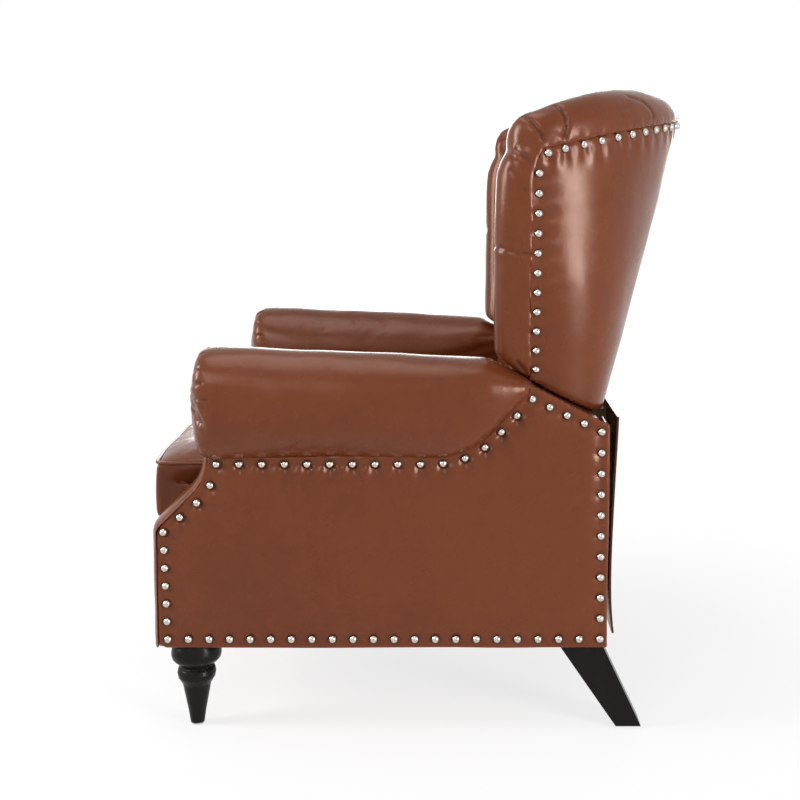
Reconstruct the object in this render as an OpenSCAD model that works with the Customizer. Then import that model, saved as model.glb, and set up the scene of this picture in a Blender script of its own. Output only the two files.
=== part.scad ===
// Push-back wingback recliner with rolled arms, in millimetres.
// X runs to the sitter's left, the chair faces -Y, Z is up, and the floor is at zero.

/* [Arms] */
// Half of the width of the seat space between the arms
seat_space = 240; // [225:1:270]
// Thickness of an arm below its roll
arm_t = 80; // [76:1:100]
// Front seam of the arm, forward of the origin
arm_front = 411; // [400:1:430]
// Rear edge of the arm, behind the origin
arm_rear = 290; // [280:1:300]
// Rise of the seam under the arm roll above the seat cushion's seam
arm_seam_rise = 30; // [20:1:45]
// Height of the arm roll from its seam to its crest at the front end
roll_rise = 172; // [150:1:190]
// Drop of the crest from the front of the roll to the wing
roll_drop = 22; // [0:1:40]
// How far the roll stands out beyond the side panel
roll_out = 35.5; // [20:0.5:50]
// How far the roll leans in over the seat
roll_in = 14; // [6:1:20]
// Setback of the roll's front end from the front seam of the arm
roll_setback = 63; // [50:1:75]
// Radius of the scooped sweep below the roll
sweep_r = 82; // [70:1:90]
// How far the sweep cuts back from the front seam of the arm
sweep_depth = 81; // [70:1:90]
// Radius of the shoulder at the front of the arm
shoulder_r = 18; // [12:1:24]
// Thickness of the padded leather side panel
panel_t = 8; // [5:0.5:12]
// Crown of the padded front facing
facing_crown = 9; // [4:1:12]

/* [Base] */
// Floor to the underside of the base
base_h = 138; // [120:1:160]
// Height of the closed footrest's face, from the base to the seat cushion
face_h = 182; // [170:1:190]
// Thickness of the wooden side rails
side_rail_t = 30; // [24:1:34]
// Height of the wooden side rails
side_rail_h = 162; // [150:1:170]
// Depth of the flat front rail
front_rail_d = 60; // [40:1:80]
// Thickness of the flat front rail
front_rail_t = 24; // [18:1:26]
// Height of the rear rail
rear_rail_h = 80; // [60:1:100]
// Largest radius of a turned front leg
leg_r = 39.6; // [34:0.2:44]
// Width of a rear leg
rear_leg_w = 45; // [35:1:55]
// How far a rear leg is splayed back at the floor
rear_leg_splay = 78; // [60:1:90]

/* [Back] */
// Setback of the outside back from the arm's outer face at the bottom of the wing
back_side_gap = 27; // [20:1:32]
// Widening of the outside back's half width for each unit of height
flare_share = 0.1475; // [0.12:0.0025:0.16]
// Depth of the outside back behind its centre, at the bottom of the wing
barrel_depth = 205; // [198:1:215]
// How far the bottom of the outside back stands behind the arm's rear edge
back_overhang = 24; // [18:1:30]
// Rise of the outside back's top edge above the bottom of the wing, at the rear centre
back_rise = 414; // [395:1:425]
// Fall of that edge from the rear centre to the wings
back_top_drop = 51; // [30:1:60]
// Crown of the top roll at the rear centre
crest_h = 44; // [38:1:52]
// Further swell of the top roll between the rear centre and the wings
crest_swell = 22; // [10:1:26]
// Thickness of the leather outside back
shell_t = 6; // [4:0.5:8]
// Thickness of the curved board inside a wing
wing_board_t = 12; // [9:1:15]
// Thickness of the padded front edge of a wing
wing_t = 64; // [56:1:72]
// How far the wing's padded edge stands in front of its nails
nose_depth = 58; // [48:1:64]
// Thickness of the tufted cushion
cushion_t = 72; // [60:1:80]
// Depth of a tuft
tuft_d = 14; // [6:1:18]
// Columns of buttons in the full rows
tuft_columns = 4; // [3:1:5]
// Rows of buttons
tuft_rows = 5; // [3:1:6]

/* [Seat] */
// Clearance between the seat cushion and the arm
seat_side_gap = 5; // [3:1:15]
// How far the seat cushion's front corners reach past the front seam of the arm
seat_reach = 20; // [14:1:25]
// Bulge of the front boxing
seat_bulge = 6; // [4:1:8]
// Height of the seat cushion's front boxing
seat_box_h = 91; // [80:1:100]
// Crown of the seat cushion above its seam
seat_crown = 34; // [20:1:45]
// Diameter of the seat welt
welt_d = 6; // [5:1:8]

/* [Mechanism] */
// Thickness of the steel links
plate_t = 3; // [2.5:0.5:3]
// Running gap between neighbouring links
link_gap = 1; // [0.8:0.1:1]
// Width of a link
link_w = 18; // [16:1:20]
// Diameter of a link rivet
rivet_d = 8; // [6:0.5:9]
// Diameter of a back hinge pin, a seat stud and a drive pin
stud_d = 12; // [10:0.5:13]
// Radial running clearance of every pin
pin_fit = 0.05; // [0.02:0.01:0.1]
// Length of a lift link between its main pivots
lift_len = 178; // [170:1:182]
// Length of a rocker between its pivots
rocker_len = 150; // [140:1:156]
// Lean of the rockers from the floor at rest
rocker_lean = 64; // [60:1:68]
// Swing of the rockers
rocker_swing = 33; // [28:1:34]
// Recline of the back
recline = 30; // [25:1:30]

/* [Trim] */
// Diameter of a nail head
nail_d = 12.7; // [10:0.1:14]
// Rise of a nail head
nail_h = 5.2; // [4:0.1:6]
// Spacing of the nails
nail_pitch = 31.7; // [28:0.1:40]
// Diameter of a tuft button
button_d = 24; // [16:1:28]

/* [Hidden] */

leather = [0.46, 0.22, 0.13];
wood = [0.78, 0.62, 0.42];
steel = [0.20, 0.20, 0.21];
nickel = [0.82, 0.80, 0.76];
black = [0.05, 0.05, 0.05];

over = 1;
soft_gap = 0.3;
half_turn = 180;

// Levels above the floor, from the seat cushion's skirt up to the back's top edge
seat_skirt_h = base_h + face_h;
seat_seam_h = seat_skirt_h + seat_box_h;
arm_seam_h = seat_seam_h + arm_seam_rise;
roll_h = arm_seam_h + roll_rise;
peak_rise = 107;
peak_z = arm_seam_h + peak_rise;
wing_foot_gap = 5;
wing_foot_z = peak_z + wing_foot_gap;
back_top = wing_foot_z + back_rise;

// Half widths and depths that follow the arms
arm_x = seat_space + arm_t;
seat_half = seat_space - seat_side_gap;
seat_front = arm_front + seat_reach;
roll_front = arm_front - roll_setback;
back_half = arm_x - back_side_gap;
back_rear = arm_rear + back_overhang;

// Layers of the mechanism on the left side, from the seat rail outwards
inner_pad_t = 16;
seat_rail_in = 40;
seat_rail_x = seat_space - seat_rail_in;
seat_rail_t = 22;
layer = plate_t + link_gap;
lift_x = seat_rail_x + layer;
carrier_x = lift_x + layer;
rivet_head = 2;
head_margin = 6;
rivet_head_d = rivet_d + head_margin;
base_plate_t = 4;
side_rail_x = seat_space + inner_pad_t - side_rail_t;
base_plate_x = side_rail_x - base_plate_t;
rocker_x = base_plate_x - 2 * plate_t;
stud_head_d = stud_d + head_margin;

// Arm outlines in the side view
sweep_turn = 45;
sweep_top_y = -arm_front + sweep_depth;
peak_in = 118;
peak_y = arm_rear - peak_in;
bend_in = 152;
seam_bend_y = peak_y - bend_in;
seam_bend_r = 120;
seam_bend_turn = 46;
deck_fall_share = 0.51;
corner_r = 10;

// Footrest linkage, in the side view
board_setback = 54;
board_back = arm_front - board_setback;
board_t = 18;
board_top_gap = 14;
board_low_gap = 12;
board_top = seat_skirt_h - board_top_gap;
board_bottom = base_h + board_low_gap;
lift_rest = 306;
lift_setback = 261;
lift_rise = 36;
lift_pivot = [-arm_front + lift_setback, seat_skirt_h + lift_rise];
guide_pitch = 64;
guide_offset = [guide_pitch, 0];
bracket_setback = 20;
bracket_rise = 55;
bracket_arm = [-bracket_setback, bracket_rise];
carrier_in = 53;
carrier_drop = 66;
carrier_end = [-board_back + carrier_in, seat_skirt_h - carrier_drop];

// Rockers, back hinge and drive pin
stud_setback = 171;
stud_span = 300;
stud_rise = 32;
front_stud = [-arm_front + stud_setback, seat_skirt_h + stud_rise];
rear_stud = front_stud + [stud_span, 0];
hinge_in = 102;
hinge_rise = 34;
hinge = [arm_rear - hinge_in, seat_skirt_h + hinge_rise];
drive_arm = 168;
drive_pin = [hinge[0], hinge[1] - drive_arm];

// Back slopes
rake_share = 0.307;
inner_rake_share = 0.298;
back_depth_share = 0.467;

function dir(a) = [cos(a), sin(a)];
function turn2(p, a) = [p[0] * cos(a) - p[1] * sin(a), p[0] * sin(a) + p[1] * cos(a)];
function clamp01(t) = min(1, max(0, t));
function mix(a, b, t) = a + (b - a) * t;
function arc(c, r, a0, a1, n) = [for (i = [0:n]) c + r * dir(mix(a0, a1, i / n))];
function fan(n, c, flip) = [for (j = [0:n - 1]) flip ? [c, (j + 1) % n, j] : [c, j, (j + 1) % n]];
function mean(pts) = [for (k = [0:2]) sum_of([for (p = pts) p[k]]) / len(pts)];
function sum_of(v) = v * [for (i = v) 1];
function signed(pts, f) = sum_of([for (t = f) pts[t[0]] * cross(pts[t[1]], pts[t[2]])]);
function outward(pts, f) = signed(pts, f) > 0 ? [for (t = f) [t[2], t[1], t[0]]] : f;
function in3(x, p) = [x, p[0], p[1]];

// A closed skin through rings of equal length, capped at both ends
module loft(rings) {
    n = len(rings[0]);
    m = len(rings);
    pts = concat([for (r = rings) each r], [mean(rings[0]), mean(rings[m - 1])]);
    sides = [for (i = [0:m - 2], j = [0:n - 1])
        let (a = i * n + j, b = i * n + (j + 1) % n)
        each [[a, a + n, b + n], [a, b + n, b]]];
    low = [for (j = [0:n - 1]) [m * n, j, (j + 1) % n]];
    high = [for (j = [0:n - 1]) [m * n + 1, (m - 1) * n + (j + 1) % n, (m - 1) * n + j]];
    all = concat(sides, low, high);
    polyhedron(pts, outward(pts, all));
}

// A closed sheet between two grids of equal size
module sheet(front, back) {
    m = len(front);
    n = len(front[0]);
    q = m * n;
    pts = concat([for (r = front) each r], [for (r = back) each r]);
    faces = [for (i = [0:m - 2], j = [0:n - 2])
        let (a = i * n + j, b = a + 1, c = a + n, d = a + n + 1)
        each [[a, c, d], [a, d, b], [q + a, q + d, q + c], [q + a, q + b, q + d]]];
    ends = [for (j = [0:n - 2])
        let (c = (m - 1) * n + j)
        each [[j, j + 1, q + j + 1], [j, q + j + 1, q + j],
              [c, q + c + 1, c + 1], [c, q + c, q + c + 1]]];
    edges = [for (i = [0:m - 2])
        let (a = i * n, b = i * n + n - 1)
        each [[a, q + a + n, a + n], [a, q + a, q + a + n],
              [b, b + n, q + b + n], [b, q + b + n, q + b]]];
    all = concat(faces, ends, edges);
    polyhedron(pts, outward(pts, all));
}

// A padded form: a fine front grid over a flat back ring
module pad(front, back_ring) {
    m = len(front);
    n = len(front[0]);
    q = m * n;
    rim = concat([for (j = [0:n - 2]) j], [for (i = [0:m - 2]) i * n + n - 1],
        [for (j = [n - 1:-1:1]) (m - 1) * n + j], [for (i = [m - 1:-1:1]) i * n]);
    k = len(rim);
    pts = concat([for (r = front) each r], back_ring, [mean(back_ring)]);
    faces = [for (i = [0:m - 2], j = [0:n - 2])
        let (a = i * n + j, b = a + 1, c = a + n, d = a + n + 1)
        each [[a, c, d], [a, d, b]]];
    walls = [for (j = [0:k - 1])
        let (j2 = (j + 1) % k)
        each [[rim[j], rim[j2], q + j2], [rim[j], q + j2, q + j]]];
    floor_faces = [for (j = [0:k - 1]) [q + k, q + j, q + (j + 1) % k]];
    all = concat(faces, walls, floor_faces);
    polyhedron(pts, outward(pts, all));
}

// The points of a front grid's rim, in the order that a pad uses
function rim_of(front) =
    let (m = len(front), n = len(front[0]))
    concat([for (j = [0:n - 2]) front[0][j]], [for (i = [0:m - 2]) front[i][n - 1]],
        [for (j = [n - 1:-1:1]) front[m - 1][j]], [for (i = [m - 1:-1:1]) front[i][0]]);

// Extrudes a side-view outline across the chair, from x for a thickness t
module across(x, t) {
    translate([x, 0, 0]) rotate([90, 0, 90]) linear_extrude(t) children();
}

module on_both_sides() {
    children();
    mirror([1, 0, 0]) children();
}

// Outline at a distance r around a convex run of points, given counter-clockwise
arc_steps = 12;
function heading(a, b) = atan2(b[1] - a[1], b[0] - a[0]) - 90;
function round_outline(pts, r) =
    let (n = len(pts))
    [for (i = [0:n - 1])
        let (
            h0 = heading(pts[(i + n - 1) % n], pts[i]),
            h1 = heading(pts[i], pts[(i + 1) % n])
        )
        each arc(pts[i], r, h0, h1 < h0 ? h1 + 2 * half_turn : h1, arc_steps)];

module rod_x(x, t, p, d) {
    translate([x, p[0], p[1]]) rotate([0, 90, 0]) cylinder(h = t, d = d, $fn = 48);
}

module bore_x(x, t, p, d) {
    rod_x(x - over, t + 2 * over, p, d + 2 * pin_fit);
}

// A rivet that stands on one link and carries its neighbour on the outside
module rivet(x, p) {
    rod_x(x, layer + plate_t + rivet_head, p, rivet_d);
    rod_x(x + layer + plate_t + link_gap / 4, rivet_head, p, rivet_head_d);
    rod_x(x + plate_t, link_gap * 3 / 4, p, rivet_head_d);
}

// Swept front of the arm: a scooped arc, a straight run and the shoulder, each tangent to the next
sweep_mid = [sweep_top_y - sweep_r, arm_seam_h];
sweep_end = sweep_mid + sweep_r * dir(-sweep_turn);
shoulder_y = -arm_front + shoulder_r;
sweep_run = (sweep_end[0] - shoulder_y + shoulder_r * cos(sweep_turn)) / sin(sweep_turn);
shoulder_z = sweep_end[1] - sweep_run * cos(sweep_turn) - shoulder_r * sin(sweep_turn);
sweep_steps = 7;
function sweep_points(n) = concat(
    arc(sweep_mid, sweep_r, 0, -sweep_turn, n),
    arc([shoulder_y, shoulder_z], shoulder_r, half_turn - sweep_turn, half_turn, n));

// Outline of the arm's side panel in the side view
function panel_points(inset = 0) =
    concat(
        sweep_points(sweep_steps),
        arc([-arm_front + corner_r, base_h + corner_r], corner_r, half_turn, half_turn + 90, 4),
        [[arm_rear, base_h], [arm_rear, deck_z(arm_rear)], [peak_y, peak_z]],
        [for (i = [12:-1:0]) [seam_bend_y, arm_seam_h + seam_bend_r]
            + seam_bend_r * dir(mix(-90, -90 + seam_bend_turn, i / 12))]
    );

// Height of the arm's rear deck, which falls to the rear so that the wing can pass over it
function deck_z(y) = peak_z - deck_fall_share * (y - peak_y);

// Height of the seam under the roll
function seam_z(y) =
    let (
        bend_end = seam_bend_y + seam_bend_r * sin(seam_bend_turn),
        bend_z = arm_seam_h + seam_bend_r * (1 - cos(seam_bend_turn))
    )
    y < seam_bend_y ? arm_seam_h
    : y < bend_end ? arm_seam_h + seam_bend_r - sqrt(pow(seam_bend_r, 2) - pow(y - seam_bend_y, 2))
    : mix(bend_z, peak_z, clamp01((y - bend_end) / (peak_y - bend_end)));

// Height of the roll's crest: a long gentle fall, then the cut under the wing
roll_cut_in = 67;
roll_cut_y = peak_y - roll_cut_in;
roll_tail_h = 6;
function crest_z(y) =
    y < roll_cut_y ? roll_h - roll_drop * (y + roll_front) / (roll_cut_y + roll_front)
    : mix(roll_h - roll_drop, peak_z + roll_tail_h, (y - roll_cut_y) / (peak_y - roll_cut_y));

// Section of the roll at y, shrunk about its own centre by a share
roll_top_share = 0.384;
function roll_ring(y, share, lift = 0) =
    let (
        zs = seam_z(y) + soft_gap + lift,
        zc = crest_z(y),
        k = clamp01((zc - zs) / roll_rise),
        outer = arm_x + roll_out * k,
        inner = seat_space - roll_in * k,
        rv = roll_top_share * (zc - zs),
        cx = (outer + inner) / 2,
        cz = zc - rv,
        rx = (outer - inner) / 2,
        top = [for (i = [0:10]) let (a = 18 * i) [cx + rx * cos(a), cz + rv * sin(a)]],
        low_in = [for (i = [1:4])
            let (a = 22.5 * i) [seat_space - roll_in * k * cos(a), mix(cz, zs, sin(a))]],
        low_out = [for (i = [5:-1:1])
            let (a = 18 * i) [arm_x + roll_out * k * cos(a), mix(cz, zs, sin(a))]],
        ring = concat(top, low_in, low_out),
        mid = [cx, (zc + zs) / 2]
    )
    [for (p = ring) let (q = mid + (p - mid) * share) [q[0], y, q[1]]];

// Legs and the bolts that hold them
leg_x = seat_space + arm_t / 2;
front_leg_in = 51;
front_leg_y = -arm_front + front_leg_in;
rear_bolt_in = 26;
rear_bolt_pitch = 24;
rear_bolt_y = [arm_rear - rear_bolt_in - rear_bolt_pitch, arm_rear - rear_bolt_in];
bolt_d = 8;
bolt_in = 22;
bolt_up = 18;
bolt_places = [for (y = concat([front_leg_y], rear_bolt_y)) [leg_x, y]];

module side_piece(side) {
    if (side > 0) children();
    else mirror([1, 0, 0]) children();
}

frame_x = arm_x - panel_t;
ply_t = 15;
post_d = 46;
frame_windows = [[sweep_top_y + post_d, -post_d], [0, arm_rear - 3 * post_d]];

module arm_frame(side) {
    inner_x = seat_space + inner_pad_t;
    gap = frame_x - 2 * ply_t - inner_x;
    bend_mid = (seam_bend_y + roll_cut_y) / 2;
    rear_y = arm_rear - panel_t;
    frame_rear = [[bend_mid, seam_z(bend_mid) - ply_t / 4], [roll_cut_y, seam_z(roll_cut_y) - ply_t / 2],
        [peak_y, peak_z - ply_t * 2], [rear_y, deck_z(arm_rear) - ply_t * 2]];
    color(wood) side_piece(side) difference() {
        union() {
            // Outer plywood side with two windows
            across(frame_x - ply_t, ply_t) difference() {
                polygon(concat([[-arm_front, base_h], [-arm_front, shoulder_z - over]],
                    [sweep_end + [ply_t, -ply_t], [sweep_top_y + over, arm_seam_h]],
                    [[seam_bend_y, arm_seam_h]], frame_rear, [[rear_y, base_h]]));
                for (w = frame_windows)
                    translate([w[0], base_h + post_d])
                        square([w[1] - w[0], arm_seam_h - base_h - 2 * post_d]);
            }
            // Inner plywood side under the inner pad
            across(inner_x, ply_t) difference() {
                polygon(concat(
                    [[sweep_top_y + soft_gap, base_h + side_rail_h], [sweep_top_y + soft_gap, arm_seam_h]],
                    [[seam_bend_y, arm_seam_h]], frame_rear, [[rear_y, base_h + side_rail_h]]));
                translate([sweep_top_y + post_d, base_h + side_rail_h + post_d / 2])
                    square([seam_bend_y - sweep_top_y - 2 * post_d,
                        arm_seam_h - base_h - side_rail_h - post_d]);
            }
            // Front block, front post, rear post, bottom rail and top rail between the two sides
            translate([inner_x, -arm_front, base_h]) cube([gap + ply_t, sweep_depth, side_rail_h]);
            across(inner_x + ply_t, gap) polygon([[sweep_top_y + soft_gap, base_h],
                [sweep_top_y + soft_gap, arm_seam_h], [sweep_top_y + post_d, arm_seam_h],
                [sweep_top_y + post_d, base_h]]);
            across(inner_x + ply_t, gap) polygon([[rear_y - post_d, base_h],
                [rear_y - post_d, deck_z(arm_rear - post_d) - ply_t * 2],
                [rear_y, deck_z(arm_rear) - ply_t * 2], [rear_y, base_h]]);
            translate([inner_x, sweep_top_y, base_h])
                cube([gap + ply_t, rear_y - sweep_top_y, front_rail_t]);
            translate([inner_x, sweep_top_y + soft_gap, arm_seam_h - ply_t])
                cube([gap + ply_t, seam_bend_y - sweep_top_y, ply_t]);
        }
        for (p = bolt_places)
            translate([p[0], p[1], base_h - over])
                cylinder(h = bolt_up + 2 * over, d = bolt_d + 2 * pin_fit, $fn = 32);
    }
}

module side_rail(side) {
    color(wood) side_piece(side)
        translate([side_rail_x, sweep_top_y, base_h])
            cube([side_rail_t, arm_rear - panel_t - sweep_top_y, side_rail_h]);
}

module arm_outer_panel(side) {
    color(leather) side_piece(side) {
        across(frame_x, panel_t) polygon(panel_points());
        // The leather returns across the rear of the arm
        translate([seat_space, arm_rear - panel_t, base_h])
            cube([arm_t, panel_t, deck_z(arm_rear) - base_h]);
    }
}

// Shares of the roll's section over its first stations, which round its front end
nose_shares = [0.72, 0.90, 0.975, 1];
nose_step_shares = [0, 0.018, 0.06, 0.14];
roll_end_gap = 4;
deck_lap = 22;
deck_gap = 4;

module arm_pad(side) {
    front_line = sweep_points(sweep_steps);
    rear_y = arm_rear - panel_t - soft_gap;
    color(leather) side_piece(side) {
        loft(concat(
            [for (i = [0:3]) roll_ring(-roll_front + nose_step_shares[i] * roll_rise, nose_shares[i])],
            [for (t = [0.5, 0.95]) roll_ring(mix(-roll_front, seam_bend_y, t), 1)],
            [for (t = [0, 0.35, 0.7, 1]) roll_ring(mix(seam_bend_y, roll_cut_y, t), 1)],
            [for (t = [0.3, 0.6]) roll_ring(mix(roll_cut_y, peak_y, t), 1)],
            [roll_ring(peak_y - roll_end_gap, 1)]));
        // Inner face of the arm, from the rail up into the roll
        across(seat_space, inner_pad_t) polygon(concat(
            [[sweep_top_y - soft_gap, base_h + side_rail_h], [sweep_top_y - soft_gap, base_h]],
            [[-arm_front, base_h]], [for (i = [len(front_line) - 1:-1:0]) front_line[i]],
            [[sweep_top_y + soft_gap, arm_seam_h + post_d], [seam_bend_y, arm_seam_h + post_d]],
            [[roll_cut_y, seam_z(roll_cut_y) + post_d], [peak_y, peak_z]],
            [[rear_y, deck_z(arm_rear - panel_t)]],
            [[rear_y, base_h + side_rail_h]]));
        // Sloping deck behind the roll
        across(seat_space, arm_t - panel_t - soft_gap) polygon([
            [peak_y - deck_lap, seam_z(peak_y - deck_lap) + deck_gap], [peak_y, peak_z],
            [rear_y, deck_z(rear_y)], [rear_y, deck_z(arm_rear) - ply_t * 2 + deck_gap + soft_gap],
            [peak_y, peak_z - ply_t * 2 + soft_gap]]);
    }
}

facing_edge = 2;
module arm_facing(side) {
    path = concat(sweep_points(sweep_steps),
        [for (t = [0.75, 0.5, 0.25, 0]) [-arm_front, mix(base_h, shoulder_z, t)]]);
    count = len(path);
    normals = [for (i = [0:count - 1])
        let (a = path[max(0, i - 1)], b = path[min(count - 1, i + 1)], d = (b - a) / norm(b - a))
        [d[1], -d[0]]];
    shares = [0, 0.12, 0.3, 0.5, 0.7, 0.88, 1];
    front = [for (i = [0:count - 1])
        [for (s = shares)
            let (rise = facing_edge + facing_crown * sqrt(1 - pow(2 * s - 1, 2)))
            in3(mix(seat_space, arm_x, s), path[i] + rise * normals[i])]];
    back = [for (i = [0:count - 1]) [for (s = shares) in3(mix(seat_space, arm_x, s), path[i])]];
    color(leather) side_piece(side) sheet(front, back);
}

module nail() {
    r = (pow(nail_d / 2, 2) + pow(nail_h, 2)) / (2 * nail_h);
    rotate_extrude($fn = 24) intersection() {
        translate([0, nail_h - r]) circle(r = r, $fn = 48);
        square([nail_d, nail_h]);
    }
}

// Nails along a side-view path at an even pitch
function path_len(p, i = 0) = i >= len(p) - 1 ? 0 : norm(p[i + 1] - p[i]) + path_len(p, i + 1);
function along(p, d, i = 0) =
    i >= len(p) - 2 ? p[i] + (p[i + 1] - p[i]) * clamp01(d / norm(p[i + 1] - p[i]))
    : d <= norm(p[i + 1] - p[i]) ? p[i] + (p[i + 1] - p[i]) * (d / norm(p[i + 1] - p[i]))
    : along(p, d - norm(p[i + 1] - p[i]), i + 1);
function spaced(p, pitch) =
    let (len_all = path_len(p), n = max(1, round(len_all / pitch)))
    [for (i = [0:n]) along(p, len_all * i / n)];

// Runs of nails: seam, rear deck, rear edge, bottom edge, front edge and sweep
nail_inset = 11;
nail_low = 14;
nail_corner = 4;
nail_run_shares = [1.1, 0.94, 1, 1, 0.9, 1.13];
function nail_path() =
    let (
        bend_mid = [seam_bend_y, arm_seam_h + seam_bend_r],
        rear_y = arm_rear - nail_inset,
        front_y = -arm_front + nail_inset,
        low_z = base_h + nail_low,
        start = [sweep_top_y + nail_low, arm_seam_h - nail_inset],
        peak = [peak_y, peak_z - nail_inset * 1.5],
        rear_top = [rear_y, deck_z(rear_y) - nail_inset * 1.2],
        front_low = [front_y + nail_corner, low_z],
        shoulder = [front_y, shoulder_z + nail_corner]
    )
    [
        concat([start, [seam_bend_y, arm_seam_h - nail_inset]],
            arc(bend_mid, seam_bend_r + nail_inset, -82, -90 + seam_bend_turn, 7), [peak]),
        [peak, rear_top],
        [rear_top, [rear_y, low_z]],
        [[rear_y, low_z], front_low],
        [front_low, shoulder],
        concat([shoulder], arc(sweep_mid, sweep_r + nail_inset + nail_corner, -56, -8, 6), [start])
    ];

module arm_nailheads(side) {
    color(nickel) side_piece(side)
        for (r = [0:len(nail_run_shares) - 1])
            let (places = spaced(nail_path()[r], nail_pitch * nail_run_shares[r]))
            for (i = [1:len(places) - 1])
                translate([arm_x, places[i][0], places[i][1]]) rotate([0, 90, 0]) nail();
}

front_rail_in = 7;
module front_rail() {
    color(wood) translate([-side_rail_x, -board_back + front_rail_in, base_h])
        cube([2 * side_rail_x, front_rail_d, front_rail_t]);
}

rear_rail_t = 23;
rear_rail_in = 5;
module rear_rail() {
    color(black) translate([-side_rail_x, arm_rear - rear_rail_in - rear_rail_t, base_h + front_rail_t / 2])
        cube([2 * side_rail_x, rear_rail_t, rear_rail_h]);
}

// Turned front leg, from the foot up to the bun under the base
glide_h = 3;
foot_shares = [[0.28, 0.022], [0.35, 0.16], [0.457, 0.32], [0.568, 0.486]];
ring_shares = [[0.626, 0.514], [0.737, 0.565], [0.773, 0.627], [0.73, 0.675], [0.631, 0.70]];
bun_shares = [[0.717, 0.725], [0.871, 0.761], [0.96, 0.79], [1, 0.83],
    [1, 0.87], [0.96, 0.93], [0.90, 0.97], [0.86, 1]];
module front_leg(side) {
    shares = concat(foot_shares, ring_shares, bun_shares);
    profile = [for (p = shares) if (p[1] * base_h > glide_h + over) [p[0] * leg_r, p[1] * base_h]];
    foot = [foot_shares[0][0] * leg_r, glide_h];
    color(black) side_piece(side) translate([leg_x, front_leg_y, 0]) difference() {
        rotate_extrude($fn = 48) polygon(concat([[0, glide_h], foot], profile, [[0, base_h]]));
        translate([0, 0, base_h - bolt_in]) cylinder(h = bolt_in + over, d = bolt_d + 2 * pin_fit, $fn = 32);
    }
}

rear_leg_in = 6;
rear_leg_root = 69;
rear_leg_foot = 40;
rear_leg_top = [arm_rear - rear_leg_in - rear_leg_root, arm_rear - rear_leg_in];
rear_foot_y = mix(rear_leg_top[0], rear_leg_top[1], 0.5) + rear_leg_splay;
module rear_leg(side) {
    color(black) side_piece(side) difference() {
        across(leg_x - rear_leg_w / 2, rear_leg_w) polygon([
            [rear_leg_top[0], base_h], [rear_leg_top[1], base_h],
            [rear_foot_y + rear_leg_foot / 2, glide_h], [rear_foot_y - rear_leg_foot / 2, glide_h]]);
        for (y = rear_bolt_y)
            translate([leg_x, y, base_h - bolt_in])
                cylinder(h = bolt_in + over, d = bolt_d + 2 * pin_fit, $fn = 32);
    }
}

module leg_bolts() {
    color(nickel) on_both_sides()
        for (p = bolt_places)
            translate([p[0], p[1], base_h - bolt_in]) cylinder(h = bolt_in + bolt_up, d = bolt_d, $fn = 32);
}

module leg_glides() {
    color("white") on_both_sides() {
        translate([leg_x, front_leg_y, 0])
            cylinder(h = glide_h, r = leg_r * foot_shares[0][0] * 0.9, $fn = 32);
        translate([leg_x, rear_foot_y, 0]) cylinder(h = glide_h, d = rear_leg_foot * 0.6, $fn = 32);
    }
}

// Leather flap that hangs behind the base from the back's lower batten
flap_in = 30;
flap_half = arm_x - flap_in;
flap_t = 4;
flap_gap = 16;
flap_y = arm_rear + flap_gap;
flap_low = base_h + board_low_gap;
flap_drop = 50;
flap_top = peak_z - flap_drop;
flap_flare = 12;
module rear_flap() {
    cols = [for (i = [-6:6]) i / 6];
    rows = [0, 0.08, 0.2, 0.4, 0.7, 1];
    function place(c, r, t) =
        let (z = mix(flap_low, flap_top, r), flare = flap_flare * pow(1 - r, 6))
        [c * flap_half, flap_y + t + flare, z];
    color(leather) sheet([for (r = rows) [for (c = cols) place(c, r, 0)]],
        [for (r = rows) [for (c = cols) place(c, r, flap_t)]]);
}

// Steel rail on the wooden side rail, with the upright that carries the back hinge
front_base = front_stud - rocker_len * dir(rocker_lean);
rear_base = rear_stud - rocker_len * dir(rocker_lean);
rail_h = 40;
rail_low = front_base[1] - rail_h / 2;
upright_w = 52;
module mechanism_rail(side) {
    color(steel) side_piece(side) {
        across(base_plate_x, base_plate_t) {
            translate([front_base[0] - upright_w / 2, rail_low])
                square([hinge[0] - front_base[0] + upright_w, rail_h]);
            translate([hinge[0] - upright_w / 2, rail_low]) square([upright_w, hinge[1] - rail_low]);
            translate(hinge) circle(d = upright_w, $fn = 64);
        }
        for (p = [front_base, rear_base]) {
            rod_x(rocker_x - rivet_head - link_gap / 4, base_plate_x - rocker_x + rivet_head + link_gap,
                p, rivet_d);
            rod_x(rocker_x - rivet_head - link_gap / 4, rivet_head, p, rivet_head_d);
            rod_x(rocker_x + plate_t + link_gap / 4, base_plate_x - rocker_x - plate_t, p, rivet_head_d);
        }
        rod_x(rocker_x + soft_gap, base_plate_x - rocker_x, hinge, stud_d);
        rod_x(rocker_x + plate_t + link_gap / 4, base_plate_x - rocker_x - plate_t,
            hinge, stud_head_d + head_margin);
    }
}

module rocker(side, base, stud) {
    color(steel) side_piece(side) difference() {
        across(rocker_x, plate_t) polygon(round_outline([base, stud], stud_head_d / 2 + plate_t));
        bore_x(rocker_x, plate_t, base, rivet_d);
        bore_x(rocker_x, plate_t, stud, stud_d);
    }
}

tube_d = 20;
tube_t = 2;
tube_at = (rear_base + rear_stud) / 2;
module torque_tube() {
    color(steel) difference() {
        rod_x(-rocker_x, 2 * rocker_x, tube_at, tube_d);
        rod_x(-rocker_x - over, 2 * rocker_x + 2 * over, tube_at, tube_d - 2 * tube_t);
    }
}

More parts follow.
